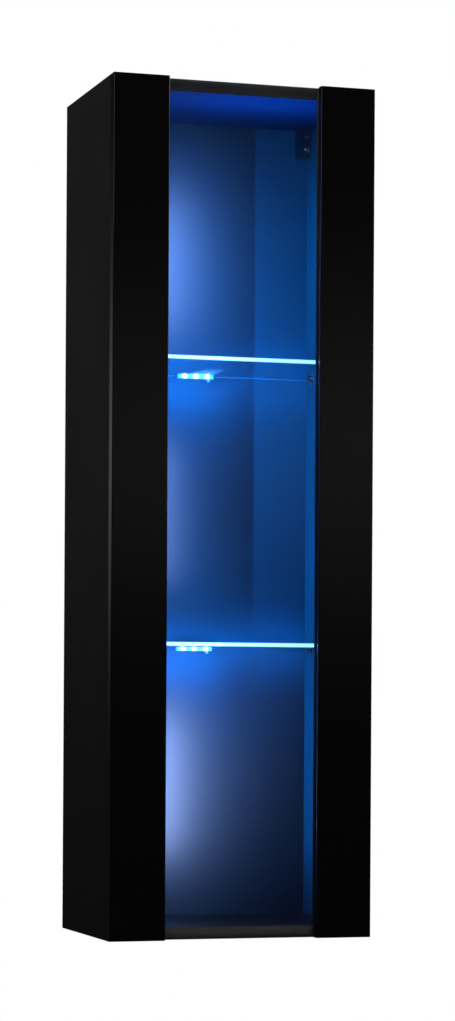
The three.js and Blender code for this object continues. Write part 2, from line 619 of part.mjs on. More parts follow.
// ---------------------------------------------------------------- hangers, z measured from the ceiling
function hangerBody(side) {
  const off = (distance) => side * (INNER_X - distance);
  const rear = BACK_FACE - SEAT_GAP;
  const t = HANGER.wall;
  const shell = block([off(SEAT_GAP), off(HANGER.width)], [HANGER_FRONT, rear], [-SEAT_GAP, -HANGER.height]);
  const hollow = block(
    [off(SEAT_GAP + t), off(HANGER.width - t)],
    [HANGER_FRONT + t, rear + PAST],
    [-SEAT_GAP - t, -HANGER.height + t],
  );
  const dowelSpan = [off(SEAT_GAP + t / 2), off(-HANGER_DOWEL.length)];
  const dowels = HANGER_DOWEL.drops.map((drop) =>
    rod("x", dowelSpan, { y: HANGER_MID_Y, z: -drop }, HANGER_DOWEL.radius, 16),
  );
  const screwHoles = Object.values(HANGER_SCREW_DROPS).map((drop) =>
    rod(
      "y",
      [HANGER_FRONT - PAST, HANGER_FRONT + t + PAST],
      { x: off(HANGER_SCREW.inset), z: -drop },
      HANGER_SCREW.headRadius + BORE_CLEARANCE,
      16,
    ),
  );
  return cut(joined(cut(shell, hollow), ...dowels), ...screwHoles);
}

// The hook is a steel plate: its body slides up and down in the hanger, its tab drops behind a wall rail.
function hangerHook(side) {
  const x = side * (INNER_X - HOOK.inset);
  const bodyFront = HANGER_FRONT + HANGER.wall + HOOK.play;
  const bodyRear = BACK_FACE - HOOK.play;
  const tabRear = -HOOK_TAB.wallGap;
  const outline = outlineOf([
    [bodyFront, -HOOK_BODY.bottom],
    [bodyRear, -HOOK_BODY.bottom],
    [bodyRear, -HOOK_NECK.bottom],
    [tabRear - HOOK_TAB.thickness, -HOOK_NECK.bottom],
    [tabRear - HOOK_TAB.thickness, -HOOK_TAB.bottom],
    [tabRear, -HOOK_TAB.bottom],
    [tabRear, -HOOK_NECK.top],
    [bodyFront, -HOOK_NECK.top],
  ]);
  return plateAlongX(outline, [x - HOOK.thickness / 2, x + HOOK.thickness / 2]);
}

function hangerScrew(side) {
  const at = { x: side * (INNER_X - HANGER_SCREW.inset), z: 0 };
  const face = HANGER_FRONT - HANGER_SCREW.proud;
  const headEnd = face + HANGER_SCREW.headLength;
  const head = rod("y", [face, headEnd], at, HANGER_SCREW.headRadius, 16);
  const shank = rod("y", [headEnd, headEnd + HANGER_SCREW.length], at, HANGER_SCREW.shankRadius, 12);
  return head.add(shank).subtract(crossRecess(at, face, HANGER_RECESS.reach, HANGER_RECESS.depth));
}

for (const [sideName, side] of [["left", -1], ["right", 1]]) {
  const hanger = groupAt(cabinet, 0, 0, CEILING);
  piece(hanger, `hanger_body_${sideName}`, hangerBody(side), ZINC);
  piece(hanger, `hanger_hook_${sideName}`, hangerHook(side), STEEL);
  for (const [purpose, drop] of Object.entries(HANGER_SCREW_DROPS)) {
    const place = groupAt(hanger, 0, 0, -drop);
    piece(place, `hanger_${purpose}_screw_${sideName}`, hangerScrew(side), STEEL);
  }
}

export default cabinet;
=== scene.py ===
"""Looks of a hanging wall cabinet with a glass-centred door and lit glass shelves.

Everything is in metres in the cabinet's own frame: X to the right, Y into the wall, Z up.
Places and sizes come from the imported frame, and only finishes and thin trim are added here.
"""
import logging
import math
from collections.abc import Iterable
from dataclasses import dataclass
from enum import Enum
from typing import Any

import bmesh
import bpy
import numpy as np
from mathutils import Matrix, Vector


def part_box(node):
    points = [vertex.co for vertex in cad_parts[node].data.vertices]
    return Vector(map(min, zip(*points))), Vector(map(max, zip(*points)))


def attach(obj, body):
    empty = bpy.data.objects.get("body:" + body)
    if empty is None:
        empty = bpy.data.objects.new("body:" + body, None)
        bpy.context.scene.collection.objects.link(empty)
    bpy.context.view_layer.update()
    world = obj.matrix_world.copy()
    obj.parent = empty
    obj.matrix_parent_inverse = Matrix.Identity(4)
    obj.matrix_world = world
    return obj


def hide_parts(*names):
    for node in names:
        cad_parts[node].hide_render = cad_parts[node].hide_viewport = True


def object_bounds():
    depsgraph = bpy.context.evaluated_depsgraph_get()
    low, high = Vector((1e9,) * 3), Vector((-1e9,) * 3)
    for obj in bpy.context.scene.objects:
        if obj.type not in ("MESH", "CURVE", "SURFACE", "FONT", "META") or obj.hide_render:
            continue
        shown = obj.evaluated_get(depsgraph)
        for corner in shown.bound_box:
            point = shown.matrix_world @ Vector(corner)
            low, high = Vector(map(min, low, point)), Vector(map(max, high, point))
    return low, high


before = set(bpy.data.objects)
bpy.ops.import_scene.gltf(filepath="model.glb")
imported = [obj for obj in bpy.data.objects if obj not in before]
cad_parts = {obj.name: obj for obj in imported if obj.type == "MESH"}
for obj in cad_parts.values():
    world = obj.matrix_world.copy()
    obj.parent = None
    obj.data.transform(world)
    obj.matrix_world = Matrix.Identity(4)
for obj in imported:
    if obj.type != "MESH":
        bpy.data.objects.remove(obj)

CAD_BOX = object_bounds()
# An edge that turns by more than this is sharp.
SHARP_TURN = math.radians(20)
# A face whose normal has less than this along a plate's thickness belongs to its edge.
FACING = 0.9
log = logging.getLogger("cabinet")

Triple = tuple[float, float, float]
Colour = Triple


def grey(value: float) -> Colour:
    """The neutral colour of one brightness."""
    return (value, value, value)


def toned(colour: Colour, share: float) -> Colour:
    """A colour made brighter or darker, to a share of its brightness."""
    red, green, blue = colour
    return (red * share, green * share, blue * share)


class Axis(Enum):
    """A direction of the frame, by its place in a point."""

    X = 0
    Y = 1
    Z = 2


class Level(Enum):
    """The two glass shelves."""

    LOWER = "lower"
    UPPER = "upper"


class Side(Enum):
    """The two sides of the cabinet, with the sign of their X."""

    LEFT = ("left", -1.0)
    RIGHT = ("right", 1.0)

    def __init__(self, label: str, sign: float) -> None:
        """Keeps the side's word and the sign of its X."""
        self.label = label
        self.sign = sign


# ---------------------------------------------------------------------------- shader expressions


class Wire:
    """An output socket. Arithmetic on it adds Math nodes to its graph."""

    def __init__(self, graph: "Graph", socket: bpy.types.NodeSocket) -> None:
        """Wraps a socket.

        Args:
            graph: the graph that new nodes join.
            socket: the output to read.
        """
        self.graph = graph
        self.socket = socket

    def __add__(self, other: "Wire | float") -> "Wire":
        """The sum."""
        return self.graph.maths("ADD", self, other)

    __radd__ = __add__

    def __sub__(self, other: "Wire | float") -> "Wire":
        """The difference."""
        return self.graph.maths("SUBTRACT", self, other)

    def __rsub__(self, other: float) -> "Wire":
        """The difference from a number."""
        return self.graph.maths("SUBTRACT", other, self)

    def __mul__(self, other: "Wire | float") -> "Wire":
        """The product."""
        return self.graph.maths("MULTIPLY", self, other)

    __rmul__ = __mul__

    def __truediv__(self, other: "Wire | float") -> "Wire":
        """The quotient."""
        return self.graph.maths("DIVIDE", self, other)

    def __rtruediv__(self, other: float) -> "Wire":
        """A number over this."""
        return self.graph.maths("DIVIDE", other, self)

    def __pow__(self, power: float) -> "Wire":
        """This to a power."""
        return self.graph.maths("POWER", self, power)

    def __abs__(self) -> "Wire":
        """The size without its sign."""
        return self.graph.maths("ABSOLUTE", self)


class Graph:
    """The node tree of one material or of the world."""

    def __init__(self, tree: bpy.types.NodeTree) -> None:
        """Empties a tree to lay it out anew.

        Args:
            tree: the tree to fill.
        """
        self.tree = tree
        self.tree.nodes.clear()

    def add(
        self,
        kind: str,
        settings: dict[str, Any] | None = None,
        sockets: dict[str | int, Any] | None = None,
    ) -> bpy.types.Node:
        """Adds one node.

        Args:
            kind: the node's type.
            settings: its own properties, set first; "stops" holds a ramp's (place, colour) pairs.
            sockets: a value, a Wire or an output socket for each input.

        Returns:
            The new node.
        """
        node = self.tree.nodes.new(kind)
        for key, value in (settings or {}).items():
            if key == "stops":
                for stop, (place, colour) in zip(node.color_ramp.elements, value, strict=True):
                    stop.position = place
                    stop.color = (*colour, 1.0)
            else:
                setattr(node, key, value)
        for key, value in (sockets or {}).items():
            source = value.socket if isinstance(value, Wire) else value
            if isinstance(source, bpy.types.NodeSocket):
                self.tree.links.new(source, node.inputs[key])
            elif isinstance(source, tuple) and node.inputs[key].type == "RGBA":
                node.inputs[key].default_value = (*source, 1.0)
            else:
                node.inputs[key].default_value = source
        return node

    def maths(self, operation: str, *terms: Wire | float) -> Wire:
        """One Math node on one to three numbers or wires."""
        node = self.add("ShaderNodeMath", {"operation": operation}, dict(enumerate(terms)))
        return Wire(self, node.outputs[0])

    def place(self) -> Wire:
        """The point's place in the frame."""
        return Wire(self, self.add("ShaderNodeTexCoord").outputs["Object"])

    def axes(self, vector: Wire) -> tuple[Wire, Wire, Wire]:
        """A vector's three parts."""
        node = self.add("ShaderNodeSeparateXYZ", sockets={"Vector": vector})
        return tuple(Wire(self, node.outputs[name]) for name in "XYZ")

    def stretch(self, vector: Wire, scale: Triple) -> Wire:
        """The vector with each part multiplied by its own number."""
        node = self.add("ShaderNodeMapping", sockets={"Vector": vector, "Scale": scale})
        return Wire(self, node.outputs["Vector"])

    def noise(self, vector: Wire, scale: float, detail: float = 2.0, rough: float = 0.5) -> Wire:
        """Cloudy noise from 0 to 1, of so many lumps a metre."""
        sockets = {"Vector": vector, "Scale": scale, "Detail": detail, "Roughness": rough}
        return Wire(self, self.add("ShaderNodeTexNoise", sockets=sockets).outputs["Fac"])

    def rise(self, value: Wire, start: float, end: float) -> Wire:
        """A smooth step from 0 where value is start to 1 where it is end."""
        sockets = {"Value": value, "From Min": start, "From Max": end}
        node = self.add("ShaderNodeMapRange", {"interpolation_type": "SMOOTHSTEP"}, sockets)
        return Wire(self, node.outputs["Result"])

    def bell(self, value: Wire, width: "Wire | float") -> Wire:
        """A bell curve, 1 at value 0: e to the power of minus the square of value over width."""
        share = value / width
        return self.maths("EXPONENT", 0.0 - share * share)

    def mix(self, factor: Wire, low: "Wire | Colour", high: "Wire | Colour") -> Wire:
        """The colour low where factor is 0 and high where it is 1."""
        node = self.add("ShaderNodeMix", {"data_type": "RGBA"}, {0: factor, 6: low, 7: high})
        return Wire(self, node.outputs[2])

    def tint(self, colour: "Wire | Colour", amount: Wire) -> Wire:
        """A colour made brighter or darker by a wire."""
        sockets = {0: colour, "Scale": amount}
        node = self.add("ShaderNodeVectorMath", {"operation": "SCALE"}, sockets)
        return Wire(self, node.outputs["Vector"])

    def bump(self, height: Wire, depth: float, strength: float = 1.0) -> Wire:
        """A surface normal tipped by a height of 0 to 1, which is depth metres deep."""
        sockets = {"Height": height, "Distance": depth, "Strength": strength}
        return Wire(self, self.add("ShaderNodeBump", sockets=sockets).outputs["Normal"])


# ---------------------------------------------------------------------------- finishes


@dataclass(frozen=True)
class Finish:
    """A procedural surface. Each kind says how its shader is wired.

    Attributes:
        name: the material's name.
        slot: the record's material slot for the finish; not used.
    """

    name: str
    slot: str

    def shader(self, graph: Graph) -> bpy.types.Node:
        """The surface shader's node; each kind of finish has its own."""
        raise NotImplementedError

    def make(self) -> bpy.types.Material:
        """Builds the material, once for each name.

        Returns:
            The material, new or made before.
        """
        made = bpy.data.materials.get(self.name)
        if made is not None:
            return made
        material = bpy.data.materials.new(self.name)
        material.use_nodes = True
        graph = Graph(material.node_tree)
        surface = self.shader(graph).outputs[0]
        graph.add("ShaderNodeOutputMaterial", sockets={"Surface": surface})
        return material


@dataclass(frozen=True)
class LaminatedBoard(Finish):
    """Black melamine on chipboard: fine pores along the grain and a faintly cloudy sheen.

    Attributes:
        tone: the darkest and lightest black.
        sheen: the middle roughness.
        pore_length: how many times longer than wide a pore is.
        relief: the pores' depth.
        clouds: cloudy patches a metre.
        pores: pores a metre.
        pebbles: lumps of the fine pebble a metre.
        index: how strongly the surface mirrors.
    """

    tone: tuple[float, float] = (0.006, 0.013)
    sheen: float = 0.42
    pore_length: float = 14.0
    relief: float = 0.00005
    clouds: float = 7.0
    pores: float = 900.0
    pebbles: float = 2400.0
    index: float = 1.34

    def shader(self, graph: Graph) -> bpy.types.Node:
        """Cloudiness drives colour and roughness; pores and a pebble drive the bump."""
        place = graph.place()
        cloud = graph.noise(place, self.clouds, 4.0)
        grain = graph.stretch(place, (1.0, 1.0, 1.0 / self.pore_length))
        pores = graph.noise(grain, self.pores, 3.0, 0.6)
        pebble = graph.noise(place, self.pebbles, 1.0)
        colour = graph.mix(cloud * 0.7 + pores * 0.3, *map(grey, self.tone))
        rough = self.sheen + (cloud - 0.5) * 0.12 + (pores - 0.5) * 0.16
        sockets = {
            "Base Color": colour,
            "Roughness": rough,
            "Normal": graph.bump(pores * 0.7 + pebble * 0.3, self.relief),
            "IOR": self.index,
        }
        return graph.add("ShaderNodeBsdfPrincipled", sockets=sockets)


@dataclass(frozen=True)
class GlossFront(Finish):
    """High-gloss black facing: a deep clear surface with faint orange peel, haze and wiping marks.

    Attributes:
        tone: its black.
        haze: the roughness where it is clearest and where it is haziest.
        relief: the depth of the orange peel and the slow waves.
        hazes: hazy patches a metre.
        wipes: wiping marks a metre, which run along Z.
        wipe_share: how fast they change along Z beside across it.
        specks: dust specks a metre.
        peels: lumps of orange peel a metre.
        waves: slow waves a metre.
        index: how strongly the surface mirrors.
    """

    tone: Colour = (0.0030, 0.0028, 0.0026)
    haze: tuple[float, float] = (0.045, 0.11)
    relief: float = 0.00006
    hazes: float = 5.0
    wipes: float = 160.0
    wipe_share: float = 0.12
    specks: float = 700.0
    peels: float = 320.0
    waves: float = 16.0
    index: float = 1.49

    def shader(self, graph: Graph) -> bpy.types.Node:
        """Haze and wipe marks drive the roughness, orange peel and slow waves the bump."""
        place = graph.place()
        haze = graph.rise(graph.noise(place, self.hazes, 3.0), 0.4, 0.7)
        along = graph.stretch(place, (1.0, 1.0, self.wipe_share))
        wipes = graph.noise(along, self.wipes, 3.0, 0.7)
        specks = graph.rise(graph.noise(place, self.specks, 1.0), 0.72, 0.8)
        low, high = self.haze
        rough = low + (high - low) * (haze * 0.6 + wipes * 0.4) + specks * 0.05
        peel = graph.noise(place, self.peels, 1.0)
        waves = graph.noise(place, self.waves, 1.0)
        colour = graph.mix(specks * 0.5 + haze * 0.3, self.tone, toned(self.tone, 1.6))
        sockets = {
            "Base Color": colour,
            "Roughness": rough,
            "Normal": graph.bump(peel * 0.2 + waves * 0.8, self.relief),
            "IOR": self.index,
        }
        return graph.add("ShaderNodeBsdfPrincipled", sockets=sockets)


@dataclass(frozen=True)
class BackSheet(Finish):
    """Painted hardboard: matt, with a fine fibre pebble and slow unevenness.

    Attributes:
        tone: the darkest and lightest of it.
        sheen: the middle roughness.
        fibres: fibres a metre.
        fibre_share: how fast they change along Z beside across it.
        patches: uneven patches a metre.
        relief: the fibres' depth.
        index: how strongly the surface mirrors.
    """

    tone: tuple[float, float] = (0.036, 0.050)
    sheen: float = 0.55
    fibres: float = 1100.0
    fibre_share: float = 0.35
    patches: float = 5.0
    relief: float = 0.000012
    index: float = 1.42

    def shader(self, graph: Graph) -> bpy.types.Node:
        """Fibres drive the bump and a little of the colour."""
        place = graph.place()
        along = graph.stretch(place, (1.0, 1.0, self.fibre_share))
        fibre = graph.noise(along, self.fibres, 3.0, 0.65)
        slow = graph.noise(place, self.patches, 2.0)
        colour = graph.mix(fibre * 0.4 + slow * 0.6, *map(grey, self.tone))
        sockets = {
            "Base Color": colour,
            "Roughness": self.sheen + (fibre - 0.5) * 0.2,
            "Normal": graph.bump(fibre, self.relief),
            "IOR": self.index,
        }
        return graph.add("ShaderNodeBsdfPrincipled", sockets=sockets)


@dataclass(frozen=True)
class PaintedBeam:
    """Where a shelf's glass has a painted glow, which stands in for the lamps' light carried forward
    from its rear edge.

    Attributes:
        rear: the Y of the glass's rear edge.
        reach: how far forward the painted glow reaches.
        half_width: half the painted glow's width at the lamps.
        taper: how much of that half is lost for each metre forward.
        soft: the share of the width in which the painted glow fades out.
    """

    rear: float
    reach: float = 0.14
    half_width: float = 0.028
    taper: float = 0.08
    soft: float = 0.6


@dataclass(frozen=True)
class Glass(Finish):
    """Clear float glass with faint wiping marks, which lets the lamps' light through; in a shelf it also
    has a painted glow.

    Attributes:
        body: the glass's own tint.
        index: how strongly it refracts and mirrors.
        marks: wiping marks a metre, which run along Z.
        mark_share: how fast they change along Z beside across it.
        glow: the colour of the painted glow, where the glass has one.
        shine: how bright that painted glow is.
        painted_beam: where the painted glow lies, or None.
    """

    body: Colour = (0.93, 0.975, 0.985)
    index: float = 1.5
    marks: float = 45.0
    mark_share: float = 0.3
    glow: Colour = (0.10, 0.48, 1.0)
    shine: float = 0.6
    painted_beam: PaintedBeam | None = None

    def shader(self, graph: Graph) -> bpy.types.Node:
        """Glass for what looks at it, and plain clearness for light on its way through; in a shelf, a
        painted glow.
        """
        place = graph.place()
        marks = graph.noise(graph.stretch(place, (1.0, 1.0, self.mark_share)), self.marks, 3.0, 0.6)
        sockets: dict[str | int, Any] = {
            "Base Color": graph.mix(marks, self.body, toned(self.body, 0.985)),
            "Roughness": graph.rise(marks, 0.55, 0.8) * 0.03,
            "Transmission Weight": 1.0,
            "IOR": self.index,
        }
        # Painted glow: emission in a wedge that fades forward from the rear edge, standing in for the
        # lamps' light in the glass.
        if self.painted_beam is not None:
            x, y, _ = graph.axes(place)
            run = self.painted_beam.rear - y
            width = self.painted_beam.half_width - run * self.painted_beam.taper
            across = 1.0 - graph.rise(abs(x) / width, 1.0 - self.painted_beam.soft, 1.0)
            along = 1.0 - graph.rise(run, 0.0, self.painted_beam.reach)
            sockets["Emission Color"] = graph.tint(self.glow, across * along)
            sockets["Emission Strength"] = self.shine
        glass = graph.add("ShaderNodeBsdfPrincipled", sockets=sockets)
        through = graph.add("ShaderNodeBsdfTransparent", sockets={"Color": self.body})
        shadow = graph.add("ShaderNodeLightPath").outputs["Is Shadow Ray"]
        return graph.add(
            "ShaderNodeMixShader", sockets={0: shadow, 1: glass.outputs[0], 2: through.outputs[0]}
        )


@dataclass(frozen=True)
class GlassEdge(Finish):
    """The ground and polished edge of a glass plate, darker than its faces; in a shelf it has a painted
    glow that stands in for the lamps' light leaving the glass.

    Attributes:
        body: the edge's colour.
        core: the colour of the painted glow in the middle of the edge.
        rim: the colour of the painted glow towards its arrises.
        power: the painted glow's strength, 0 where the glass has none.
        middle: the Z of the plate's middle.
        half: half its thickness.
        near: the Y of its front edge.
        far: the Y of its rear edge.
        side: the X of its right edge.
        rest: how bright the painted glow on the other edges is beside the front one.
        clear: how much of the edge is see-through, as a transmission weight.
        index: how strongly it refracts and mirrors.
        lines: grinding lines a metre.
        relief: their depth.
        flickers: brighter and dimmer stretches of the painted glow a metre.
        front_depth: the share of the plate's depth over which the front edge's painted glow dies away.
        side_span: where the painted glow falls off to the right, as shares of the right edge's X.
        side_loss: how much of it is lost there.
    """

    body: Colour = (0.25, 0.55, 0.52)
    core: Colour = (0.62, 0.93, 1.0)
    rim: Colour = (0.02, 0.42, 1.0)
    power: float = 0.0
    middle: float = 0.0
    half: float = 0.003
    near: float = 0.0
    far: float = 1.0
    side: float = 1.0
    rest: float = 0.12
    clear: float = 0.6
    index: float = 1.5
    lines: float = 1500.0
    relief: float = 0.00002
    flickers: float = 22.0
    front_depth: float = 0.3
    side_span: tuple[float, float] = (-0.3, 1.3)
    side_loss: float = 0.8

    def shader(self, graph: Graph) -> bpy.types.Node:
        """Grinding lines drive roughness and bump; the painted glow is whitest in mid-thickness."""
        place = graph.place()
        ground = graph.noise(graph.stretch(place, (0.2, 0.2, 1.0)), self.lines, 2.0)
        sockets: dict[str | int, Any] = {
            "Base Color": graph.mix(ground, self.body, toned(self.body, 0.8)),
            "Roughness": 0.12 + ground * 0.2,
            "Transmission Weight": self.clear,
            "IOR": self.index,
            "Normal": graph.bump(ground, self.relief),
        }
        # Painted glow: emission brightest along the front edge, whitest in mid-thickness and weaker to
        # the right.
        if self.power > 0:
            x, y, z = graph.axes(place)
            flicker = 0.85 + 0.3 * graph.noise(place, self.flickers, 2.0)
            front_end = self.near + (self.far - self.near) * self.front_depth
            front = 1.0 - graph.rise(y, self.near, front_end)
            start, end = (share * self.side for share in self.side_span)
            left = 1.0 - self.side_loss * graph.rise(x, start, end)
            core = graph.bell(z - self.middle, self.half * 0.9) * front * left
            light = graph.mix(core, self.rim, self.core)
            strong = flicker * (self.rest + (1.0 - self.rest) * front)
            sockets["Emission Color"] = graph.tint(light, strong)
            sockets["Emission Strength"] = self.power
        return graph.add("ShaderNodeBsdfPrincipled", sockets=sockets)


@dataclass(frozen=True)
class Plated(Finish):
    """Plated steel, brushed along Z or cloudy.

    Attributes:
        tone: the metal's colour.
        rough: the smoothest and roughest of it.
        lay: how the brushing runs, as the scale of the noise along each axis.
        grain: lines a metre.
        clouds: cloudy patches a metre.
        relief: the lines' depth.
    """

    tone: Colour = (0.60, 0.61, 0.63)
    rough: tuple[float, float] = (0.18, 0.40)
    lay: Triple = (1.0, 1.0, 0.06)
    grain: float = 900.0
    clouds: float = 60.0
    relief: float = 0.000004

    def shader(self, graph: Graph) -> bpy.types.Node:
        """Brushing and clouds drive colour, roughness and bump."""
        place = graph.place()
        brush = graph.noise(graph.stretch(place, self.lay), self.grain, 3.0, 0.6)
        cloud = graph.noise(place, self.clouds, 3.0)
        low, high = self.rough
        sockets = {
            "Base Color": graph.mix(cloud, self.tone, toned(self.tone, 0.82)),
            "Roughness": low + (high - low) * (brush * 0.6 + cloud * 0.4),
            "Metallic": 1.0,
            "Normal": graph.bump(brush, self.relief),
        }
        return graph.add("ShaderNodeBsdfPrincipled", sockets=sockets)


@dataclass(frozen=True)
class Moulded(Finish):
    """Moulded plastic with a fine spark-eroded grain.

    Attributes:
        tone: its colour.
        rough: its middle roughness.
        clear: how much of it is see-through, as a transmission weight.
        relief: the grain's depth.
        grains: its lumps a metre.
        flows: flow marks a metre.
    """

    tone: Colour = (0.18, 0.19, 0.20)
    rough: float = 0.45
    clear: float = 0.0
    relief: float = 0.00003
    grains: float = 1900.0
    flows: float = 70.0

    def shader(self, graph: Graph) -> bpy.types.Node:
        """The grain drives roughness and bump, and slow flow marks the colour."""
        place = graph.place()
        grain = graph.noise(place, self.grains, 2.0)
        flow = graph.noise(place, self.flows, 2.0)
        sockets = {
            "Base Color": graph.mix(flow, self.tone, toned(self.tone, 0.85)),
            "Roughness": self.rough + (grain - 0.5) * 0.15 + (flow - 0.5) * 0.08,
            "Transmission Weight": self.clear,
            "Normal": graph.bump(grain, self.relief),
        }
        return graph.add("ShaderNodeBsdfPrincipled", sockets=sockets)


@dataclass(frozen=True)
class LitClip(Finish):
    """Milky clip plastic that glows round the three lamps behind it.

    Attributes:
        spacing: the lamps' pitch along X.
        middle: the Z of the lamps.
        power: the glow's strength.
        dot: how wide each lamp's glow is.
        glow_half: how far above and below the lamps the plastic glows.
        milk: the plastic's darkest and lightest colour.
        rest_glow: the colour of its light away from the lamps.
        lamp_glow: the colour of its light over a lamp.
        rest: how bright it is away from the lamps beside over them.
        grains: lumps of its grain a metre.
        relief: their depth.
    """

    spacing: float = 0.018
    middle: float = 0.0
    power: float = 9.0
    dot: float = 0.0036
    glow_half: float = 0.0064
    milk: tuple[Colour, Colour] = ((0.55, 0.62, 0.75), (0.62, 0.68, 0.80))
    rest_glow: Colour = (0.01, 0.20, 1.0)
    lamp_glow: Colour = (0.72, 0.96, 1.0)
    rest: float = 0.10
    grains: float = 1500.0
    relief: float = 0.00002

    def shader(self, graph: Graph) -> bpy.types.Node:
        """Three bells along X, one at each lamp, glow white-blue; the rest glows deep blue."""
        place = graph.place()
        x, _, z = graph.axes(place)
        grain = graph.noise(place, self.grains, 2.0)
        dots = graph.bell(x, self.dot) + graph.bell(abs(x) - self.spacing, self.dot)
        near = 1.0 - graph.rise(abs(z - self.middle), self.glow_half * 0.8, self.glow_half)
        light = graph.mix(dots * near, self.rest_glow, self.lamp_glow)
        strong = (self.rest + dots * (1.0 - self.rest)) * near
        sockets = {
            "Base Color": graph.mix(grain, *self.milk),
            "Roughness": 0.3 + grain * 0.15,
            "Normal": graph.bump(grain, self.relief),
            "Emission Color": graph.tint(light, strong),
            "Emission Strength": self.power,
        }
        return graph.add("ShaderNodeBsdfPrincipled", sockets=sockets)


@dataclass(frozen=True)
class LampGlow(Finish):
    """The lamps' silicone lenses: a white-cyan core that turns blue towards the rim.

    Attributes:
        power: the light's strength.
        front: the Y of the lenses' tops.
        depth: how deep a lens is.
        silicone: the lens's own colour.
        rim: the colour of the light at its foot.
        core: the colour of the light at its top.
        grains: lumps of the silicone's grain a metre.
    """

    power: float = 9.0
    front: float = 0.0
    depth: float = 0.0012
    silicone: Colour = (0.8, 0.9, 1.0)
    rim: Colour = (0.05, 0.35, 1.0)
    core: Colour = (0.75, 0.97, 1.0)
    grains: float = 900.0

    def shader(self, graph: Graph) -> bpy.types.Node:
        """The dome's depth drives the colour of its light."""
        place = graph.place()
        _, y, _ = graph.axes(place)
        core = 1.0 - graph.rise(y, self.front, self.front + self.depth)
        sockets = {
            "Base Color": self.silicone,
            "Roughness": 0.15 + graph.noise(place, self.grains, 1.0) * 0.1,
            "Emission Color": graph.mix(core, self.rim, self.core),
            "Emission Strength": self.power,
        }
        return graph.add("ShaderNodeBsdfPrincipled", sockets=sockets)


@dataclass(frozen=True)
class CircuitBoard(Finish):
    """A small white circuit board with bare solder pads beside each lamp.

    Attributes:
        spacing: the lamps' pitch along X.
        mask: the board's white.
        solder: the pads' colour.
        pad_half: half a pad's width.
        pad_edge: the width over which it ends.
        grains: lumps of its grain a metre.
        relief: how proud a pad is.
    """

    spacing: float = 0.018
    mask: Colour = (0.70, 0.74, 0.80)
    solder: Colour = (0.62, 0.63, 0.65)
    pad_half: float = 0.0008
    pad_edge: float = 0.0003
    grains: float = 2200.0
    relief: float = 0.00004

    def shader(self, graph: Graph) -> bpy.types.Node:
        """Pads are bands along X, a set distance from each lamp."""
        place = graph.place()
        x, _, _ = graph.axes(place)
        away = abs(abs(abs(x) - self.spacing / 2) - self.spacing / 4)
        pad = 1.0 - graph.rise(away, self.pad_half, self.pad_half + self.pad_edge)
        fine = graph.noise(place, self.grains, 2.0)
        sockets = {
            "Base Color": graph.mix(pad, self.mask, self.solder),
            "Roughness": 0.45 - pad * 0.2 + fine * 0.1,
            "Metallic": pad,
            "Normal": graph.bump(fine + pad * 0.5, self.relief),
        }
        return graph.add("ShaderNodeBsdfPrincipled", sockets=sockets)


@dataclass(frozen=True)
class StudioFloor(Finish):
    """A plain pale floor with a barely uneven tone.

    Attributes:
        tone: its colour.
        sheen: its least roughness.
        patches: uneven patches a metre.
    """

    tone: Colour = (0.82, 0.82, 0.82)
    sheen: float = 0.7
    patches: float = 1.5

    def shader(self, graph: Graph) -> bpy.types.Node:
        """Slow clouds drive the tone."""
        cloud = graph.noise(graph.place(), self.patches, 2.0)
        sockets = {
            "Base Color": graph.mix(cloud, self.tone, toned(self.tone, 0.98)),
            "Roughness": self.sheen + cloud * 0.1,
        }
        return graph.add("ShaderNodeBsdfPrincipled", sockets=sockets)


BOARD = LaminatedBoard("black_board", "board_black")
BOARD_EDGE = LaminatedBoard(
    "board_edge_band", "board_black", tone=(0.030, 0.046), sheen=0.40, pore_length=30.0, relief=0.00003
)
GLOSS = GlossFront("gloss_black_front", "gloss_black")
BACK = BackSheet("back_sheet", "back_black")
DOOR_GLASS = Glass("door_glass_face", "door_pane", body=(0.955, 0.98, 0.985), index=1.2)
DOOR_GLASS_EDGE = GlassEdge("door_glass_edge", "door_pane", body=(0.10, 0.24, 0.23))
STEEL = Plated("brushed_steel", "steel")
ZINC = Plated(
    "zinc_plate", "zinc", tone=(0.46, 0.47, 0.49), rough=(0.28, 0.5), lay=(1.0, 1.0, 1.0), grain=260.0
)
GREY_PLASTIC = Moulded("grey_plastic", "grey_plastic")
SOFT_CLEAR = Moulded(
    "clear_silicone", "soft_clear", tone=(0.82, 0.84, 0.84), rough=0.3, clear=0.5, relief=0.00001
)
SEAL = Moulded("black_silicone_seal", "gloss_black", tone=(0.010, 0.010, 0.011), rough=0.35)


# ---------------------------------------------------------------------------- shapes


def grid_faces(rows: int, columns: int) -> np.ndarray:
    """Quads between neighbouring rows of points, each row closing on itself.

    Args:
        rows: number of rows.
        columns: points in a row.

    Returns:
        Quads as point numbers, one row each.
    """
    row, column = np.arange(rows - 1)[:, None], np.arange(columns)[None, :]
    after = (column + 1) % columns
    corners = [row * columns + column, row * columns + after]
    corners += [(row + 1) * columns + after, (row + 1) * columns + column]
    return np.stack(corners, -1).reshape(-1, 4)


def rounded_outline(half: np.ndarray, radius: float, inset: np.ndarray, steps: int = 6) -> np.ndarray:
    """Nested outlines of a rectangle with round corners.

    In words: each point is its corner's centre, which is the half size less the radius with the
    quarter's signs, plus the radius less the inset along the angle, which turns once round.

    Args:
        half: half the rectangle's two sizes.
        radius: the corner radius, not under the largest inset.
        inset: how far each outline lies inside the rectangle.
        steps: spans of a corner.

    Returns:
        Points by outline, by place along it, by coordinate.
    """
    quarter = np.repeat(np.arange(4), steps + 1)
    angle = (quarter + np.tile(np.linspace(0, 1, steps + 1), 4)) * np.pi / 2
    middle = (quarter + 0.5) * np.pi / 2
    centre = (half - radius) * np.sign(np.stack([np.cos(middle), np.sin(middle)], -1))
    ray = np.stack([np.cos(angle), np.sin(angle)], -1)
    return centre[None] + (radius - inset)[:, None, None] * ray[None]


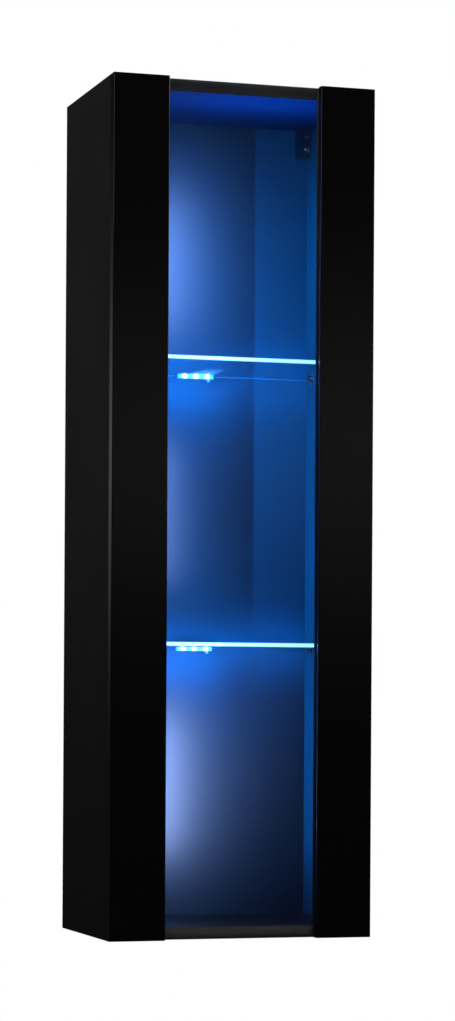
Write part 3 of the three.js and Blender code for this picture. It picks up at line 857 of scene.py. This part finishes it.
def eased_slab(low: Vector, high: Vector, thin: Axis, ease: float, radius: float) -> np.ndarray:
    """A plate with round corners and a flat 45 degree arris round both faces.

    In words: rings of the rounded outline go from one face's middle out to its arris, up the
    edge, and back to the other face's middle. The inset is the ease on a face and 0 on the edge.

    Args:
        low: the lowest corner.
        high: the highest corner.
        thin: the axis that the thickness is along.
        ease: the arris's size.
        radius: the corner radius, at least the ease.

    Returns:
        Points by ring, by place along it, by coordinate.
    """
    low, high = np.array(low), np.array(high)
    wide = [axis.value for axis in Axis if axis is not thin]
    centre, half = (low + high) / 2, (high - low) / 2
    inset = np.array([ease, ease, 0.0, 0.0, ease, ease])
    share = np.array([0.0, 1.0, 1.0, 1.0, 1.0, 0.0])
    deep = half[thin.value]
    level = np.array([-deep, -deep, ease - deep, deep - ease, deep, deep])
    outline = rounded_outline(half[wide], radius, inset) * share[:, None, None]
    rings = np.empty((*outline.shape[:2], 3))
    rings[..., wide] = outline
    rings[..., thin.value] = level[:, None]
    return rings + centre


def turned(profile: np.ndarray, foot: Vector, along: Vector, sides: int = 24) -> np.ndarray:
    """A profile of (radius, height) points turned round an axis.

    In words: a point is the foot plus its height along the axis, plus its radius times the ray
    that turns once round the axis.

    Args:
        profile: radius and height of each ring, which starts and ends at radius 0.
        foot: the point on the axis at height 0.
        along: the axis's direction, of length 1.
        sides: points of a ring.

    Returns:
        Points by ring, by place round it, by coordinate.
    """
    across = along.orthogonal().normalized()
    second = along.cross(across)
    angle = np.linspace(0, 2 * np.pi, sides, endpoint=False)
    ray = np.cos(angle)[:, None] * np.array(across) + np.sin(angle)[:, None] * np.array(second)
    rise = profile[:, 1, None] * np.array(along)
    return np.array(foot) + rise[:, None, :] + profile[:, 0, None, None] * ray[None]


def dome_profile(radius: float, height: float, base: float, steps: int = 8) -> np.ndarray:
    """The profile of a low dome on a short straight foot.

    In words: the radius falls as the cosine and the height grows as the sine over a quarter turn.

    Args:
        radius: the foot's radius.
        height: the dome's height over its foot.
        base: the straight foot's height.
        steps: spans of the dome.

    Returns:
        Radius and height of each ring.
    """
    turn = np.linspace(0, np.pi / 2, steps + 1)
    dome = np.stack([radius * np.cos(turn), base + height * np.sin(turn)], -1)
    return np.concatenate([[[0.0, 0.0], [radius, 0.0]], dome])


def run_along(profile: np.ndarray, start: Vector, end: Vector, across: Vector, up: Vector) -> np.ndarray:
    """A closed flat profile carried straight from start to end, with both ends shut.

    In words: a point is the path's point plus the profile's two coordinates along across and up;
    the first and last rings shrink to the profile's middle.

    Args:
        profile: the outline's points, in the plane of across and up.
        start: the path's first point.
        end: its last point.
        across: the direction of the profile's first coordinate.
        up: the direction of its second.

    Returns:
        Points by ring, by place along the outline, by coordinate.
    """
    middle = profile.mean(0, keepdims=True)
    rings = np.stack([middle.repeat(len(profile), 0), profile, profile, middle.repeat(len(profile), 0)])
    path = np.array([start, start, end, end])
    return path[:, None, :] + rings[..., :1] * np.array(across) + rings[..., 1:] * np.array(up)


def fillet_profile(size: float, steps: int = 6) -> np.ndarray:
    """The section of a tooled bead in a corner.

    In words: two legs of the given size meet at the corner, and a hollow quarter circle, whose
    centre is the legs' far corner, joins their ends.

    Args:
        size: the legs' length.
        steps: spans of the hollow.

    Returns:
        The outline's points.
    """
    turn = np.linspace(1.5 * np.pi, np.pi, steps + 1)
    hollow = size * (1 + np.stack([np.cos(turn), np.sin(turn)], -1))
    return np.concatenate([[[0.0, 0.0]], hollow])


def shape_piece(
    name: str,
    rings: Iterable[np.ndarray],
    finishes: list[Finish],
    body: str,
    replaced: str | None = None,
) -> bpy.types.Object:
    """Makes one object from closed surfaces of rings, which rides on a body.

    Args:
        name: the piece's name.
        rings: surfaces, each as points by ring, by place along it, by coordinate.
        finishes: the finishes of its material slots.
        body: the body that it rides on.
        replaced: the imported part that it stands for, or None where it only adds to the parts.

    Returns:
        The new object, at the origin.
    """
    points, faces, before = [], [], 0
    for surface in rings:
        rows, columns = surface.shape[:2]
        points.append(surface.reshape(-1, 3))
        faces.append(grid_faces(rows, columns) + before)
        before += rows * columns
    mesh = bpy.data.meshes.new(name)
    mesh.from_pydata(np.concatenate(points).tolist(), [], np.concatenate(faces).tolist())
    close_seams(mesh)
    mesh.shade_smooth()
    mesh.set_sharp_from_angle(angle=SHARP_TURN)
    piece = bpy.data.objects.new(name, mesh)
    bpy.context.scene.collection.objects.link(piece)
    for finish in finishes:
        mesh.materials.append(finish.make())
    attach(piece, body)
    if replaced is not None:
        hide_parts(replaced)
    log.info("%s: rides on %s", name, body)
    return piece


def close_seams(mesh: bpy.types.Mesh, reach: float = 1e-7) -> None:
    """Merges points that lie together and turns every face outwards.

    Args:
        mesh: the mesh to mend.
        reach: how near two points are to be one.
    """
    work = bmesh.new()
    work.from_mesh(mesh)
    bmesh.ops.remove_doubles(work, verts=work.verts, dist=reach)
    bmesh.ops.recalc_face_normals(work, faces=work.faces)
    work.to_mesh(mesh)
    work.free()


def edge_faces(piece: bpy.types.Object, thin: Axis, slot: int) -> None:
    """Gives the faces that look sideways from a plate a second finish.

    Args:
        piece: the plate.
        thin: the axis that its thickness is along.
        slot: the material slot for its edges.
    """
    count = len(piece.data.polygons)
    normals = np.empty(count * 3, np.float32)
    piece.data.polygons.foreach_get("normal", normals)
    sideways = np.abs(normals.reshape(-1, 3)[:, thin.value]) < FACING
    piece.data.polygons.foreach_set("material_index", np.where(sideways, slot, 0).astype(np.int32))


def dress(nodes: Iterable[str], finish: Finish) -> None:
    """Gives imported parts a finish.

    Args:
        nodes: the parts' names.
        finish: the finish for all of them.
    """
    material = finish.make()
    for name in nodes:
        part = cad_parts[name]
        if not part.material_slots:
            part.data.materials.append(material)
        for place in part.material_slots:
            place.material = material
        log.info("%s: %s", name, finish.name)


def nodes_named(start: str) -> list[str]:
    """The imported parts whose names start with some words."""
    return sorted(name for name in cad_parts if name.startswith(start))


# ---------------------------------------------------------------------------- sub-assemblies


@dataclass
class Carcass:
    """The four boards, their front edge bands, the back board and the corner cams.

    Attributes:
        band: how proud the edge band is.
        band_inset: how far the band stays inside the board's own edge.
    """

    band: float = 0.0004
    band_inset: float = 0.0004

    def build(self) -> None:
        """Dresses the boards and adds the bands."""
        dress(nodes_named("side_panel") + ["top_panel", "bottom_panel"], BOARD)
        dress(["back_panel"], BACK)
        dress(nodes_named("cam_"), ZINC)
        for name in ("side_panel_left", "side_panel_right", "top_panel", "bottom_panel"):
            self.edge_band(name)

    def edge_band(self, name: str) -> bpy.types.Object:
        """Puts a band on a board's front edge.

        Args:
            name: the board.

        Returns:
            The band.
        """
        low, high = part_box(name)
        front = low.y
        start = Vector((low.x + self.band_inset, front - self.band, low.z + self.band_inset))
        end = Vector((high.x - self.band_inset, front, high.z - self.band_inset))
        rings = eased_slab(start, end, Axis.Y, self.band / 2, self.band)
        return shape_piece(f"edge_band_{name}", [rings], [BOARD_EDGE], "cabinet")


@dataclass
class Door:
    """The two gloss stiles, the glass between them, its seal beads and the strike plate.

    Attributes:
        ease: the arris of the glass.
        corner: the glass's corner radius.
        bead: the size of the seal beads.
        bead_gap: room left between the beads and the parts beside them.
    """

    ease: float = 0.0006
    corner: float = 0.0015
    bead: float = 0.0022
    bead_gap: float = 0.00015

    def build(self) -> None:
        """Dresses the stiles and makes the glass and beads."""
        dress(nodes_named("door_strip"), GLOSS)
        dress(["strike_plate"], STEEL)
        self.pane()
        for side in Side:
            self.seal(side)

    def pane(self) -> bpy.types.Object:
        """The glass, with polished edges.

        Returns:
            The glass.
        """
        low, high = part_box("door_glass")
        rings = eased_slab(low, high, Axis.Y, self.ease, self.corner)
        pane = shape_piece("door_pane", [rings], [DOOR_GLASS, DOOR_GLASS_EDGE], "door", "door_glass")
        edge_faces(pane, Axis.Y, 1)
        return pane

    def seal(self, side: Side) -> bpy.types.Object:
        """The bead in the corner between a stile's inner edge and the glass's front.

        Args:
            side: which stile.

        Returns:
            The bead.
        """
        strip_low, strip_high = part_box(f"door_strip_{side.label}")
        pane_low, pane_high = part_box("door_glass")
        inner = strip_high.x if side is Side.LEFT else strip_low.x
        across = Vector((-side.sign, 0.0, 0.0))
        corner_x = inner + across.x * self.bead_gap
        corner_y = pane_low.y - self.bead_gap
        start = Vector((corner_x, corner_y, pane_low.z + self.bead))
        end = Vector((corner_x, corner_y, pane_high.z - self.bead))
        rings = run_along(fillet_profile(self.bead), start, end, across, Vector((0.0, -1.0, 0.0)))
        return shape_piece(f"pane_seal_{side.label}", [rings], [SEAL], "door")


@dataclass
class Shelf:
    """One glass shelf with its lit edges and its four supports.

    Attributes:
        level: which shelf.
        ease: the arris of the glass.
        corner: its corner radius.
        power: how bright the painted glow on the edges is.
    """

    level: Level
    ease: float = 0.0007
    corner: float = 0.002
    power: float = 1.5

    def build(self) -> bpy.types.Object:
        """Makes the glass and dresses the supports.

        Returns:
            The glass.
        """
        label = self.level.value
        dress(nodes_named(f"shelf_support_{label}"), STEEL)
        low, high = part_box(f"glass_shelf_{label}")
        # The shelf's glass and its edges carry a painted glow that stands in for the lamps' light in the
        # glass.
        face = Glass(f"shelf_glass_{label}", "shelf_pane", painted_beam=PaintedBeam(rear=high.y))
        middle, half = (low.z + high.z) / 2, (high.z - low.z) / 2
        edge = GlassEdge(
            f"shelf_edge_{label}",
            "shelf_pane",
            power=self.power,
            middle=middle,
            half=half,
            near=low.y,
            far=high.y,
            side=high.x,
        )
        rings = eased_slab(low, high, Axis.Z, self.ease, self.corner)
        node = f"glass_shelf_{label}"
        pane = shape_piece(f"shelf_pane_{label}", [rings], [face, edge], "cabinet", node)
        edge_faces(pane, Axis.Z, 1)
        return pane


@dataclass
class ShelfLamp:
    """The clip on a shelf's rear edge, its circuit board and three lamps.

    Attributes:
        level: which shelf.
        count: lamps in the clip.
        spacing: their pitch.
        lens_radius: a lens's radius.
        lens_foot: the straight foot of a lens, as a share of its height.
        board: the circuit board's thickness.
        board_ease: its arris, as a share of that thickness.
        board_corner: its corner radius, likewise.
    """

    level: Level
    count: int = 3
    spacing: float = 0.018
    lens_radius: float = 0.0019
    lens_foot: float = 0.25
    board: float = 0.001
    board_ease: float = 0.1
    board_corner: float = 0.4

    def build(self) -> None:
        """Dresses the clip and makes the board and the lenses."""
        label = self.level.value
        low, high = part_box(f"led_strip_{label}")
        middle = (low.z + high.z) / 2
        dress([f"led_clip_{label}"], LitClip(f"lit_clip_{label}", "clip_plastic", self.spacing, middle))
        face = high.y - self.board
        ease, corner = self.board * self.board_ease, self.board * self.board_corner
        rings = eased_slab(Vector((low.x, face, low.z)), high, Axis.Y, ease, corner)
        finish = CircuitBoard("lamp_circuit", "lamp", self.spacing)
        shape_piece(f"lamp_board_{label}", [rings], [finish], "cabinet", f"led_strip_{label}")
        height = face - low.y
        glow = LampGlow(f"lamp_lens_{label}", "lamp", front=low.y, depth=height)
        foot = height * self.lens_foot
        profile = dome_profile(self.lens_radius, height - foot, foot)
        places = (np.arange(self.count) - (self.count - 1) / 2) * self.spacing
        out = Vector((0.0, -1.0, 0.0))
        lenses = [turned(profile, Vector((x, face, middle)), out) for x in places]
        shape_piece(f"lamp_lenses_{label}", lenses, [glow], "cabinet")


@dataclass
class Fittings:
    """Hinges, hangers, push latch and door buffers.

    Attributes:
        buffer_foot: the straight foot of a buffer, as a share of its height.
    """

    buffer_foot: float = 0.3

    def build(self) -> None:
        """Dresses the metal and plastic fittings and makes the buffers."""
        dress(nodes_named("hinge_"), STEEL)
        dress(nodes_named("hanger_body"), ZINC)
        for start in ("hanger_hook", "hanger_height_screw", "hanger_depth_screw"):
            dress(nodes_named(start), STEEL)
        dress(["push_latch_housing", "push_latch_plunger"], GREY_PLASTIC)
        for level in Level:
            self.buffer(level)

    def buffer(self, level: Level) -> bpy.types.Object:
        """A domed silicone buffer on the left board's front edge.

        Args:
            level: the lower or the upper one.

        Returns:
            The buffer.
        """
        node = f"door_bumper_{level.value}"
        low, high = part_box(node)
        height = high.y - low.y
        foot = Vector(((low.x + high.x) / 2, high.y, (low.z + high.z) / 2))
        profile = dome_profile(
            (high.x - low.x) / 2, height * (1 - self.buffer_foot), height * self.buffer_foot
        )
        rings = turned(profile, foot, Vector((0.0, -1.0, 0.0)))
        return shape_piece(f"buffer_{level.value}", [rings], [SOFT_CLEAR], "cabinet", node)


# ---------------------------------------------------------------------------- light, floor, camera


@dataclass
class Panel:
    """One rectangular soft light.

    Attributes:
        name: its name.
        place: its middle.
        aim: the point it faces.
        size: its width and height.
        power: in watts.
        colour: its colour.
        mirrored: whether gloss and metal show it.
        spread: the widest angle that its light leaves in, in degrees.
        only: the pieces that it lights, or none for all of them.
        never: pieces that it doesn't light, where only is empty.
    """

    name: str
    place: Vector
    aim: Vector
    size: tuple[float, float]
    power: float
    colour: Colour = (1.0, 1.0, 1.0)
    mirrored: bool = False
    spread: float = 180.0
    only: tuple[str, ...] = ()
    never: tuple[str, ...] = ()

    def build(self) -> bpy.types.Object:
        """Makes the light.

        Returns:
            The light's object.
        """
        data = bpy.data.lights.new(self.name, "AREA")
        data.shape = "RECTANGLE"
        data.size, data.size_y = self.size
        data.energy = self.power
        data.color = self.colour
        data.spread = math.radians(self.spread)
        light = bpy.data.objects.new(self.name, data)
        light.location = self.place
        light.rotation_euler = (self.aim - self.place).to_track_quat("-Z", "Y").to_euler()
        light.visible_camera = False
        light.visible_transmission = False
        light.visible_glossy = self.mirrored
        bpy.context.scene.collection.objects.link(light)
        self.choose_parts(light)
        return light

    def choose_parts(self, light: bpy.types.Object) -> None:
        """Limits the light to some pieces, or keeps it off some.

        Args:
            light: the light's object.
        """
        names = self.only or self.never
        if not names:
            return
        chosen = bpy.data.collections.new(f"{self.name}_parts")
        for name in names:
            chosen.objects.link(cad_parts.get(name) or bpy.data.objects[name])
        light.light_linking.receiver_collection = chosen
        for member in chosen.collection_objects:
            member.light_linking.link_state = "INCLUDE" if self.only else "EXCLUDE"


LAVENDER: Colour = (0.42, 0.55, 1.0)
DEEP_BLUE: Colour = (0.0, 0.21, 1.0)
LAMP_BLUE: Colour = (0.0, 0.17, 1.0)
CEILING_BLUE: Colour = (0.002, 0.09, 1.0)


class Compartment(Enum):
    """A compartment and the bright column on its back board.

    In order: the compartment's word, how bright the column's core and its glow are, the height of
    its middle as a share of the compartment's, and how far its lights stand from the back board,
    which makes it narrow or wide.
    """

    BOTTOM = ("bottom", 6.6, 1.8, 0.50, 0.12)
    MIDDLE = ("middle", 1.4, 1.0, 0.50, 0.070)
    TOP = ("top", 3.0, 4.8, 0.44, 0.12)

    def __init__(self, label: str, core: float, glow: float, stand: float, away: float) -> None:
        """Keeps the compartment's word and its column's four numbers."""
        self.label = label
        self.core = core
        self.glow = glow
        self.stand = stand
        self.away = away


@dataclass
class InnerLight:
    """The blue light that the shelf lamps spread in the three compartments.

    Attributes:
        column_x: where the bright column stands on the back board.
        column_width: how wide its light is.
        column_power: the column's blue light per metre of height.
        core_power: the whiter light in its middle per metre of height.
        core_share: how far that light stands away beside the blue one.
        column_share: its height as a share of the compartment's.
        lamps_x: the middle of what the lamps light on the back board.
        fill_size: the wide light of one shelf.
        fill_away: how far it stands from the back board.
        fill_power: its strength.
        line_height: how high the light from a shelf's rear edge is.
        line_away: how far it stands from the back board.
        line_power: its strength.
        pool_size: the light from a shelf's lamps onto the back board below them.
        pool_away: how far it stands from the back board.
        pool_drop: how far below the shelf it stands.
        pool_aim: how far below the shelf it shines.
        pool_power: its strength.
        slant_power: light that comes in past the left stile, onto the right of the back board.
        slant_size: its width and height.
        slant_edge: where that light's left edge falls on the back board.
        slant_reach: how far that light stands from the stile.
        slant_spread: the angle that it leaves in.
        ceiling_x: the middle of the light on the top board's underside.
        ceiling_forward: how far that middle lies before the back board.
        ceiling_drop: how far below the top board it stands.
        ceiling_size: its width and depth.
        ceiling_power: its strength.
        wall_forward: how far before the back board the light on a side board's inner face falls.
        wall_away: how far it stands from that face.
        wall_width: how wide it is.
        wall_ends: how much shorter than the side board it is.
        wall_power: light on the left and the right side board's inner face.
    """

    column_x: float = -0.055
    column_width: float = 0.03
    column_power: float = 2.6
    core_power: float = 1.0
    core_share: float = 0.55
    column_share: float = 0.5
    lamps_x: float = -0.02
    fill_size: tuple[float, float] = (0.12, 0.34)
    fill_away: float = 0.12
    fill_power: float = 1.2
    line_height: float = 0.01
    line_away: float = 0.035
    line_power: float = 1.5
    pool_size: tuple[float, float] = (0.10, 0.02)
    pool_away: float = 0.05
    pool_drop: float = 0.012
    pool_aim: float = 0.05
    pool_power: float = 0.6
    slant_power: float = 5.2
    slant_size: tuple[float, float] = (0.01, 0.2)
    slant_edge: float = 0.080
    slant_reach: float = 1.2
    slant_spread: float = 36.0
    ceiling_x: float = 0.03
    ceiling_forward: float = 0.20
    ceiling_drop: float = 0.10
    ceiling_size: tuple[float, float] = (0.24, 0.08)
    ceiling_power: float = 8.0
    wall_forward: float = 0.07
    wall_away: float = 0.10
    wall_width: float = 0.08
    wall_ends: float = 0.20
    wall_power: tuple[float, float] = (14.0, 30.0)

    def build(self) -> None:
        """Lights each compartment."""
        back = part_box("back_panel")[0].y
        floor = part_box("bottom_panel")[1].z
        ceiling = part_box("top_panel")[0].z
        lower, upper = (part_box(f"glass_shelf_{level.value}") for level in Level)
        spans = {
            Compartment.BOTTOM: (floor, lower[0].z),
            Compartment.MIDDLE: (lower[1].z, upper[0].z),
            Compartment.TOP: (upper[1].z, ceiling),
        }
        for compartment, (low, high) in spans.items():
            self.column(compartment, low, high, back)
        for level, (low, high) in zip(Level, (lower, upper), strict=True):
            self.shelf(level, low, high, back)
        self.slant(back, (lower[1].z + ceiling) / 2)
        self.boards(back, floor, ceiling)

    def boards(self, back: float, floor: float, ceiling: float) -> None:
        """Light on the top board's underside and on the side boards' inner faces.

        Args:
            back: the Y of the back board's face.
            floor: the Z of the inner floor.
            ceiling: the Z of the inner ceiling.
        """
        above = Vector((self.ceiling_x, back - self.ceiling_forward, ceiling))
        below = above - Vector((0.0, 0.0, self.ceiling_drop))
        Panel(
            "ceiling_glow",
            below,
            above,
            self.ceiling_size,
            self.ceiling_power,
            CEILING_BLUE,
            only=("top_panel",),
        ).build()
        size = (self.wall_width, ceiling - floor - self.wall_ends)
        for side, power in zip(Side, self.wall_power, strict=True):
            name = f"side_panel_{side.label}"
            low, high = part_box(name)
            wall = low.x if side is Side.RIGHT else high.x
            aim = Vector((wall, back - self.wall_forward, (floor + ceiling) / 2))
            place = aim - Vector((side.sign * self.wall_away, 0.0, 0.0))
            Panel(f"wall_{side.label}", place, aim, size, power, DEEP_BLUE, only=(name,)).build()

    def column(self, compartment: Compartment, low: float, high: float, back: float) -> None:
        """The bright column in one compartment: a blue glow and a whiter core.

        Args:
            compartment: which compartment.
            low: the Z of its floor.
            high: the Z of its ceiling.
            back: the Y of the back board's face.
        """
        length = (high - low) * self.column_share
        aim = Vector((self.column_x, back, low + (high - low) * compartment.stand))
        size = (self.column_width, length)
        for kind, share, power, colour in (
            ("column", 1.0, self.column_power * compartment.glow, DEEP_BLUE),
            ("core", self.core_share, self.core_power * compartment.core, LAVENDER),
        ):
            place = aim - Vector((0.0, compartment.away * share, 0.0))
            name = f"{kind}_{compartment.label}"
            Panel(name, place, aim, size, power * length, colour).build()

    def shelf(self, level: Level, low: Vector, high: Vector, back: float) -> None:
        """The light of a shelf's lamps and of its rear edge on the back board.

        Args:
            level: which shelf.
            low: the shelf's lowest corner.
            high: its highest corner.
            back: the Y of the back board's face.
        """
        middle = (low.z + high.z) / 2
        Panel(
            f"fill_{level.value}",
            Vector((self.lamps_x, back - self.fill_away, middle)),
            Vector((self.lamps_x, back, middle)),
            self.fill_size,
            self.fill_power,
            DEEP_BLUE,
        ).build()
        Panel(
            f"rear_line_{level.value}",
            Vector((0.0, back - self.line_away, middle)),
            Vector((0.0, back, middle)),
            (high.x - low.x, self.line_height),
            self.line_power,
            LAMP_BLUE,
        ).build()
        Panel(
            f"pool_{level.value}",
            Vector((self.lamps_x, back - self.pool_away, low.z - self.pool_drop)),
            Vector((self.lamps_x, back, low.z - self.pool_aim)),
            self.pool_size,
            self.pool_power,
            LAMP_BLUE,
        ).build()

    def slant(self, back: float, level: float) -> None:
        """Light from the front left whose edge is the shadow of the left stile.

        In words: it stands on the line from the edge's place on the back board past the stile's
        inner front corner, a set reach beyond that corner.

        Args:
            back: the Y of the back board's face.
            level: its height.
        """
        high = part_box("door_strip_left")[1]
        corner = Vector((high.x, high.y, 0.0))
        foot = Vector((self.slant_edge, back, 0.0))
        way = (corner - foot).normalized()
        height = Vector((0.0, 0.0, level))
        Panel(
            "slant",
            corner + way * self.slant_reach + height,
            foot + height,
            self.slant_size,
            self.slant_power,
            DEEP_BLUE,
            spread=self.slant_spread,
            only=("back_panel",),
        ).build()


class SoftLight(Enum):
    """The studio's square soft lights: word, place, side and power in watts."""

    KEY = ("key", (-2.4, -3.2, 1.2), 1.8, 22.0)
    TOP = ("top", (0.3, -0.8, 2.2), 3.0, 90.0)
    LEFT = ("left", (-4.0, -0.3, 0.6), 2.0, 8.0)
    RIGHT = ("right", (4.0, -0.9, 0.6), 2.0, 60.0)
    REAR = ("rear", (0.9, 4.0, 0.6), 2.4, 110.0)

    def __init__(self, label: str, place: Triple, side: float, power: float) -> None:
        """Keeps the light's word and its three numbers."""
        self.label = label
        self.place = Vector(place)
        self.side = side
        self.power = power


@dataclass
class Studio:
    """The pale floor, the dim room with two soft windows, and the soft lights.

    Attributes:
        floor_drop: from the cabinet's bottom to the floor.
        floor_half: half the floor's side.
        floor_wash: the side and the power of the light that only the floor gets.
        room: how bright the room is for everything but the camera.
        window_level: how high the windows' middle is, as the Z of its direction.
        window_half: how far they reach above and below that.
        front_window: how bright the wide window at the front right is.
        left_window: how bright the narrow window at the rear left is.
        left_x: where that one's middle is, as the X of its direction.
        left_half: how far it reaches to both sides of that.
        front_start: over which X of a direction the front window begins.
        depth_start: how far to the front or rear both windows begin, as the Y of a direction.
    """

    floor_drop: float = 0.75
    floor_half: float = 2.6
    floor_wash: tuple[float, float] = (4.0, 330.0)
    room: float = 0.015
    window_level: float = 0.08
    window_half: float = 0.05
    front_window: float = 0.16
    left_window: float = 0.20
    left_x: float = -0.26
    left_half: float = 0.10
    front_start: tuple[float, float] = (0.0, 0.35)
    depth_start: tuple[float, float] = (0.3, 0.8)

    def build(self) -> None:
        """Makes the floor, the room and the lights."""
        low, high = CAD_BOX
        self.floor(low.z - self.floor_drop)
        self.surroundings()
        middle = (low + high) / 2
        over = SoftLight.TOP.place
        under = Vector((over.x, over.y, 0.0))
        side, power = self.floor_wash
        Panel("floor_wash", over, under, (side, side), power, only=("floor",)).build()
        kept_off = ("back_panel", "door_pane", *(f"shelf_pane_{level.value}" for level in Level))
        for light in SoftLight:
            aim = under if light is SoftLight.TOP else middle
            never = () if light is SoftLight.REAR else kept_off
            size = (light.side, light.side)
            Panel(light.label, light.place, aim, size, light.power, mirrored=True, never=never).build()

    def floor(self, level: float) -> bpy.types.Object:
        """A square floor, which throws no light back at the cabinet.

        Args:
            level: its height.

        Returns:
            The floor.
        """
        corners = np.array([[-1, -1], [1, -1], [1, 1], [-1, 1]], float) * self.floor_half
        points = np.column_stack([corners, np.full(4, level)])
        mesh = bpy.data.meshes.new("floor")
        mesh.from_pydata(points.tolist(), [], [(0, 1, 2, 3)])
        floor = bpy.data.objects.new("floor", mesh)
        mesh.materials.append(StudioFloor("studio_floor", "board_black").make())
        floor.visible_diffuse = False
        floor.visible_glossy = False
        bpy.context.scene.collection.objects.link(floor)
        return floor

    def surroundings(self) -> None:
        """White behind the object; elsewhere a dim room with two soft low windows."""
        world = bpy.data.worlds.new("studio")
        world.use_nodes = True
        bpy.context.scene.world = world
        graph = Graph(world.node_tree)
        way = Wire(graph, graph.add("ShaderNodeTexCoord").outputs["Generated"])
        x, y, z = graph.axes(way)
        front = graph.rise(x, *self.front_start) * graph.rise(0.0 - y, *self.depth_start)
        left = graph.bell(x - self.left_x, self.left_half) * graph.rise(y, *self.depth_start)
        bright = front * self.front_window + left * self.left_window
        window = graph.bell(z - self.window_level, self.window_half) * bright
        room = graph.tint((1.0, 1.0, 1.0), self.room + window)
        path = graph.add("ShaderNodeLightPath")
        bounces = Wire(graph, path.outputs["Diffuse Depth"]) + Wire(graph, path.outputs["Glossy Depth"])
        straight = graph.maths("LESS_THAN", bounces, 0.5)
        through = Wire(graph, path.outputs["Is Transmission Ray"]) * straight
        seen = graph.maths("MAXIMUM", Wire(graph, path.outputs["Is Camera Ray"]), through)
        colour = graph.mix(seen, room, (1.0, 1.0, 1.0))
        background = graph.add("ShaderNodeBackground", sockets={"Color": colour, "Strength": 1.0})
        graph.add("ShaderNodeOutputWorld", sockets={"Surface": background.outputs[0]})


@dataclass
class Viewpoint:
    """The camera, low on the left, level and turned a little to the right.

    Attributes:
        place: where it stands in the frame.
        turn: how far it is turned from straight at the wall, in degrees.
        tilt: how far it looks up.
        lean: how far it leans to the right.
        lens: its focal length in millimetres on the long side's sensor.
        sensor: that sensor side.
        shift: the picture's shift, as a share of its long side.
    """

    place: Triple = (-1.330, -4.696, -0.900)
    turn: float = 17.84
    tilt: float = 0.01
    lean: float = -0.33
    lens: float = 110.6
    sensor: float = 36.0
    shift: tuple[float, float] = (-0.071, 0.1856)

    def build(self) -> bpy.types.Object:
        """Makes the camera.

        In words: it looks along the direction that turn and tilt give, and its right is level,
        then both of its picture's axes turn by the lean.

        Returns:
            The camera.
        """
        turn, tilt, lean = (math.radians(a) for a in (self.turn, self.tilt, self.lean))
        ahead = Vector(
            (math.sin(turn) * math.cos(tilt), math.cos(turn) * math.cos(tilt), math.sin(tilt))
        )
        level = Vector((math.cos(turn), -math.sin(turn), 0.0))
        down = -level.cross(ahead)
        right = level * math.cos(lean) + down * math.sin(lean)
        up = level * math.sin(lean) - down * math.cos(lean)
        data = bpy.data.cameras.new("camera")
        data.sensor_width = self.sensor
        data.lens = self.lens
        data.shift_x, data.shift_y = self.shift
        data.dof.use_dof = False
        camera = bpy.data.objects.new("camera", data)
        bpy.context.scene.collection.objects.link(camera)
        turned_axes = Matrix((right, up, -ahead)).transposed()
        camera.matrix_world = Matrix.Translation(self.place) @ turned_axes.to_4x4()
        bpy.context.scene.camera = camera
        return camera


def main() -> None:
    """Builds the camera, every sub-assembly and the lights in order."""
    logging.basicConfig(level=logging.INFO, format="%(name)s: %(message)s")
    bpy.context.scene.view_settings.view_transform = "Standard"
    Viewpoint().build()
    Carcass().build()
    Door().build()
    for level in Level:
        Shelf(level).build()
        ShelfLamp(level).build()
    Fittings().build()
    InnerLight().build()
    Studio().build()


if __name__ == "__main__":
    main()
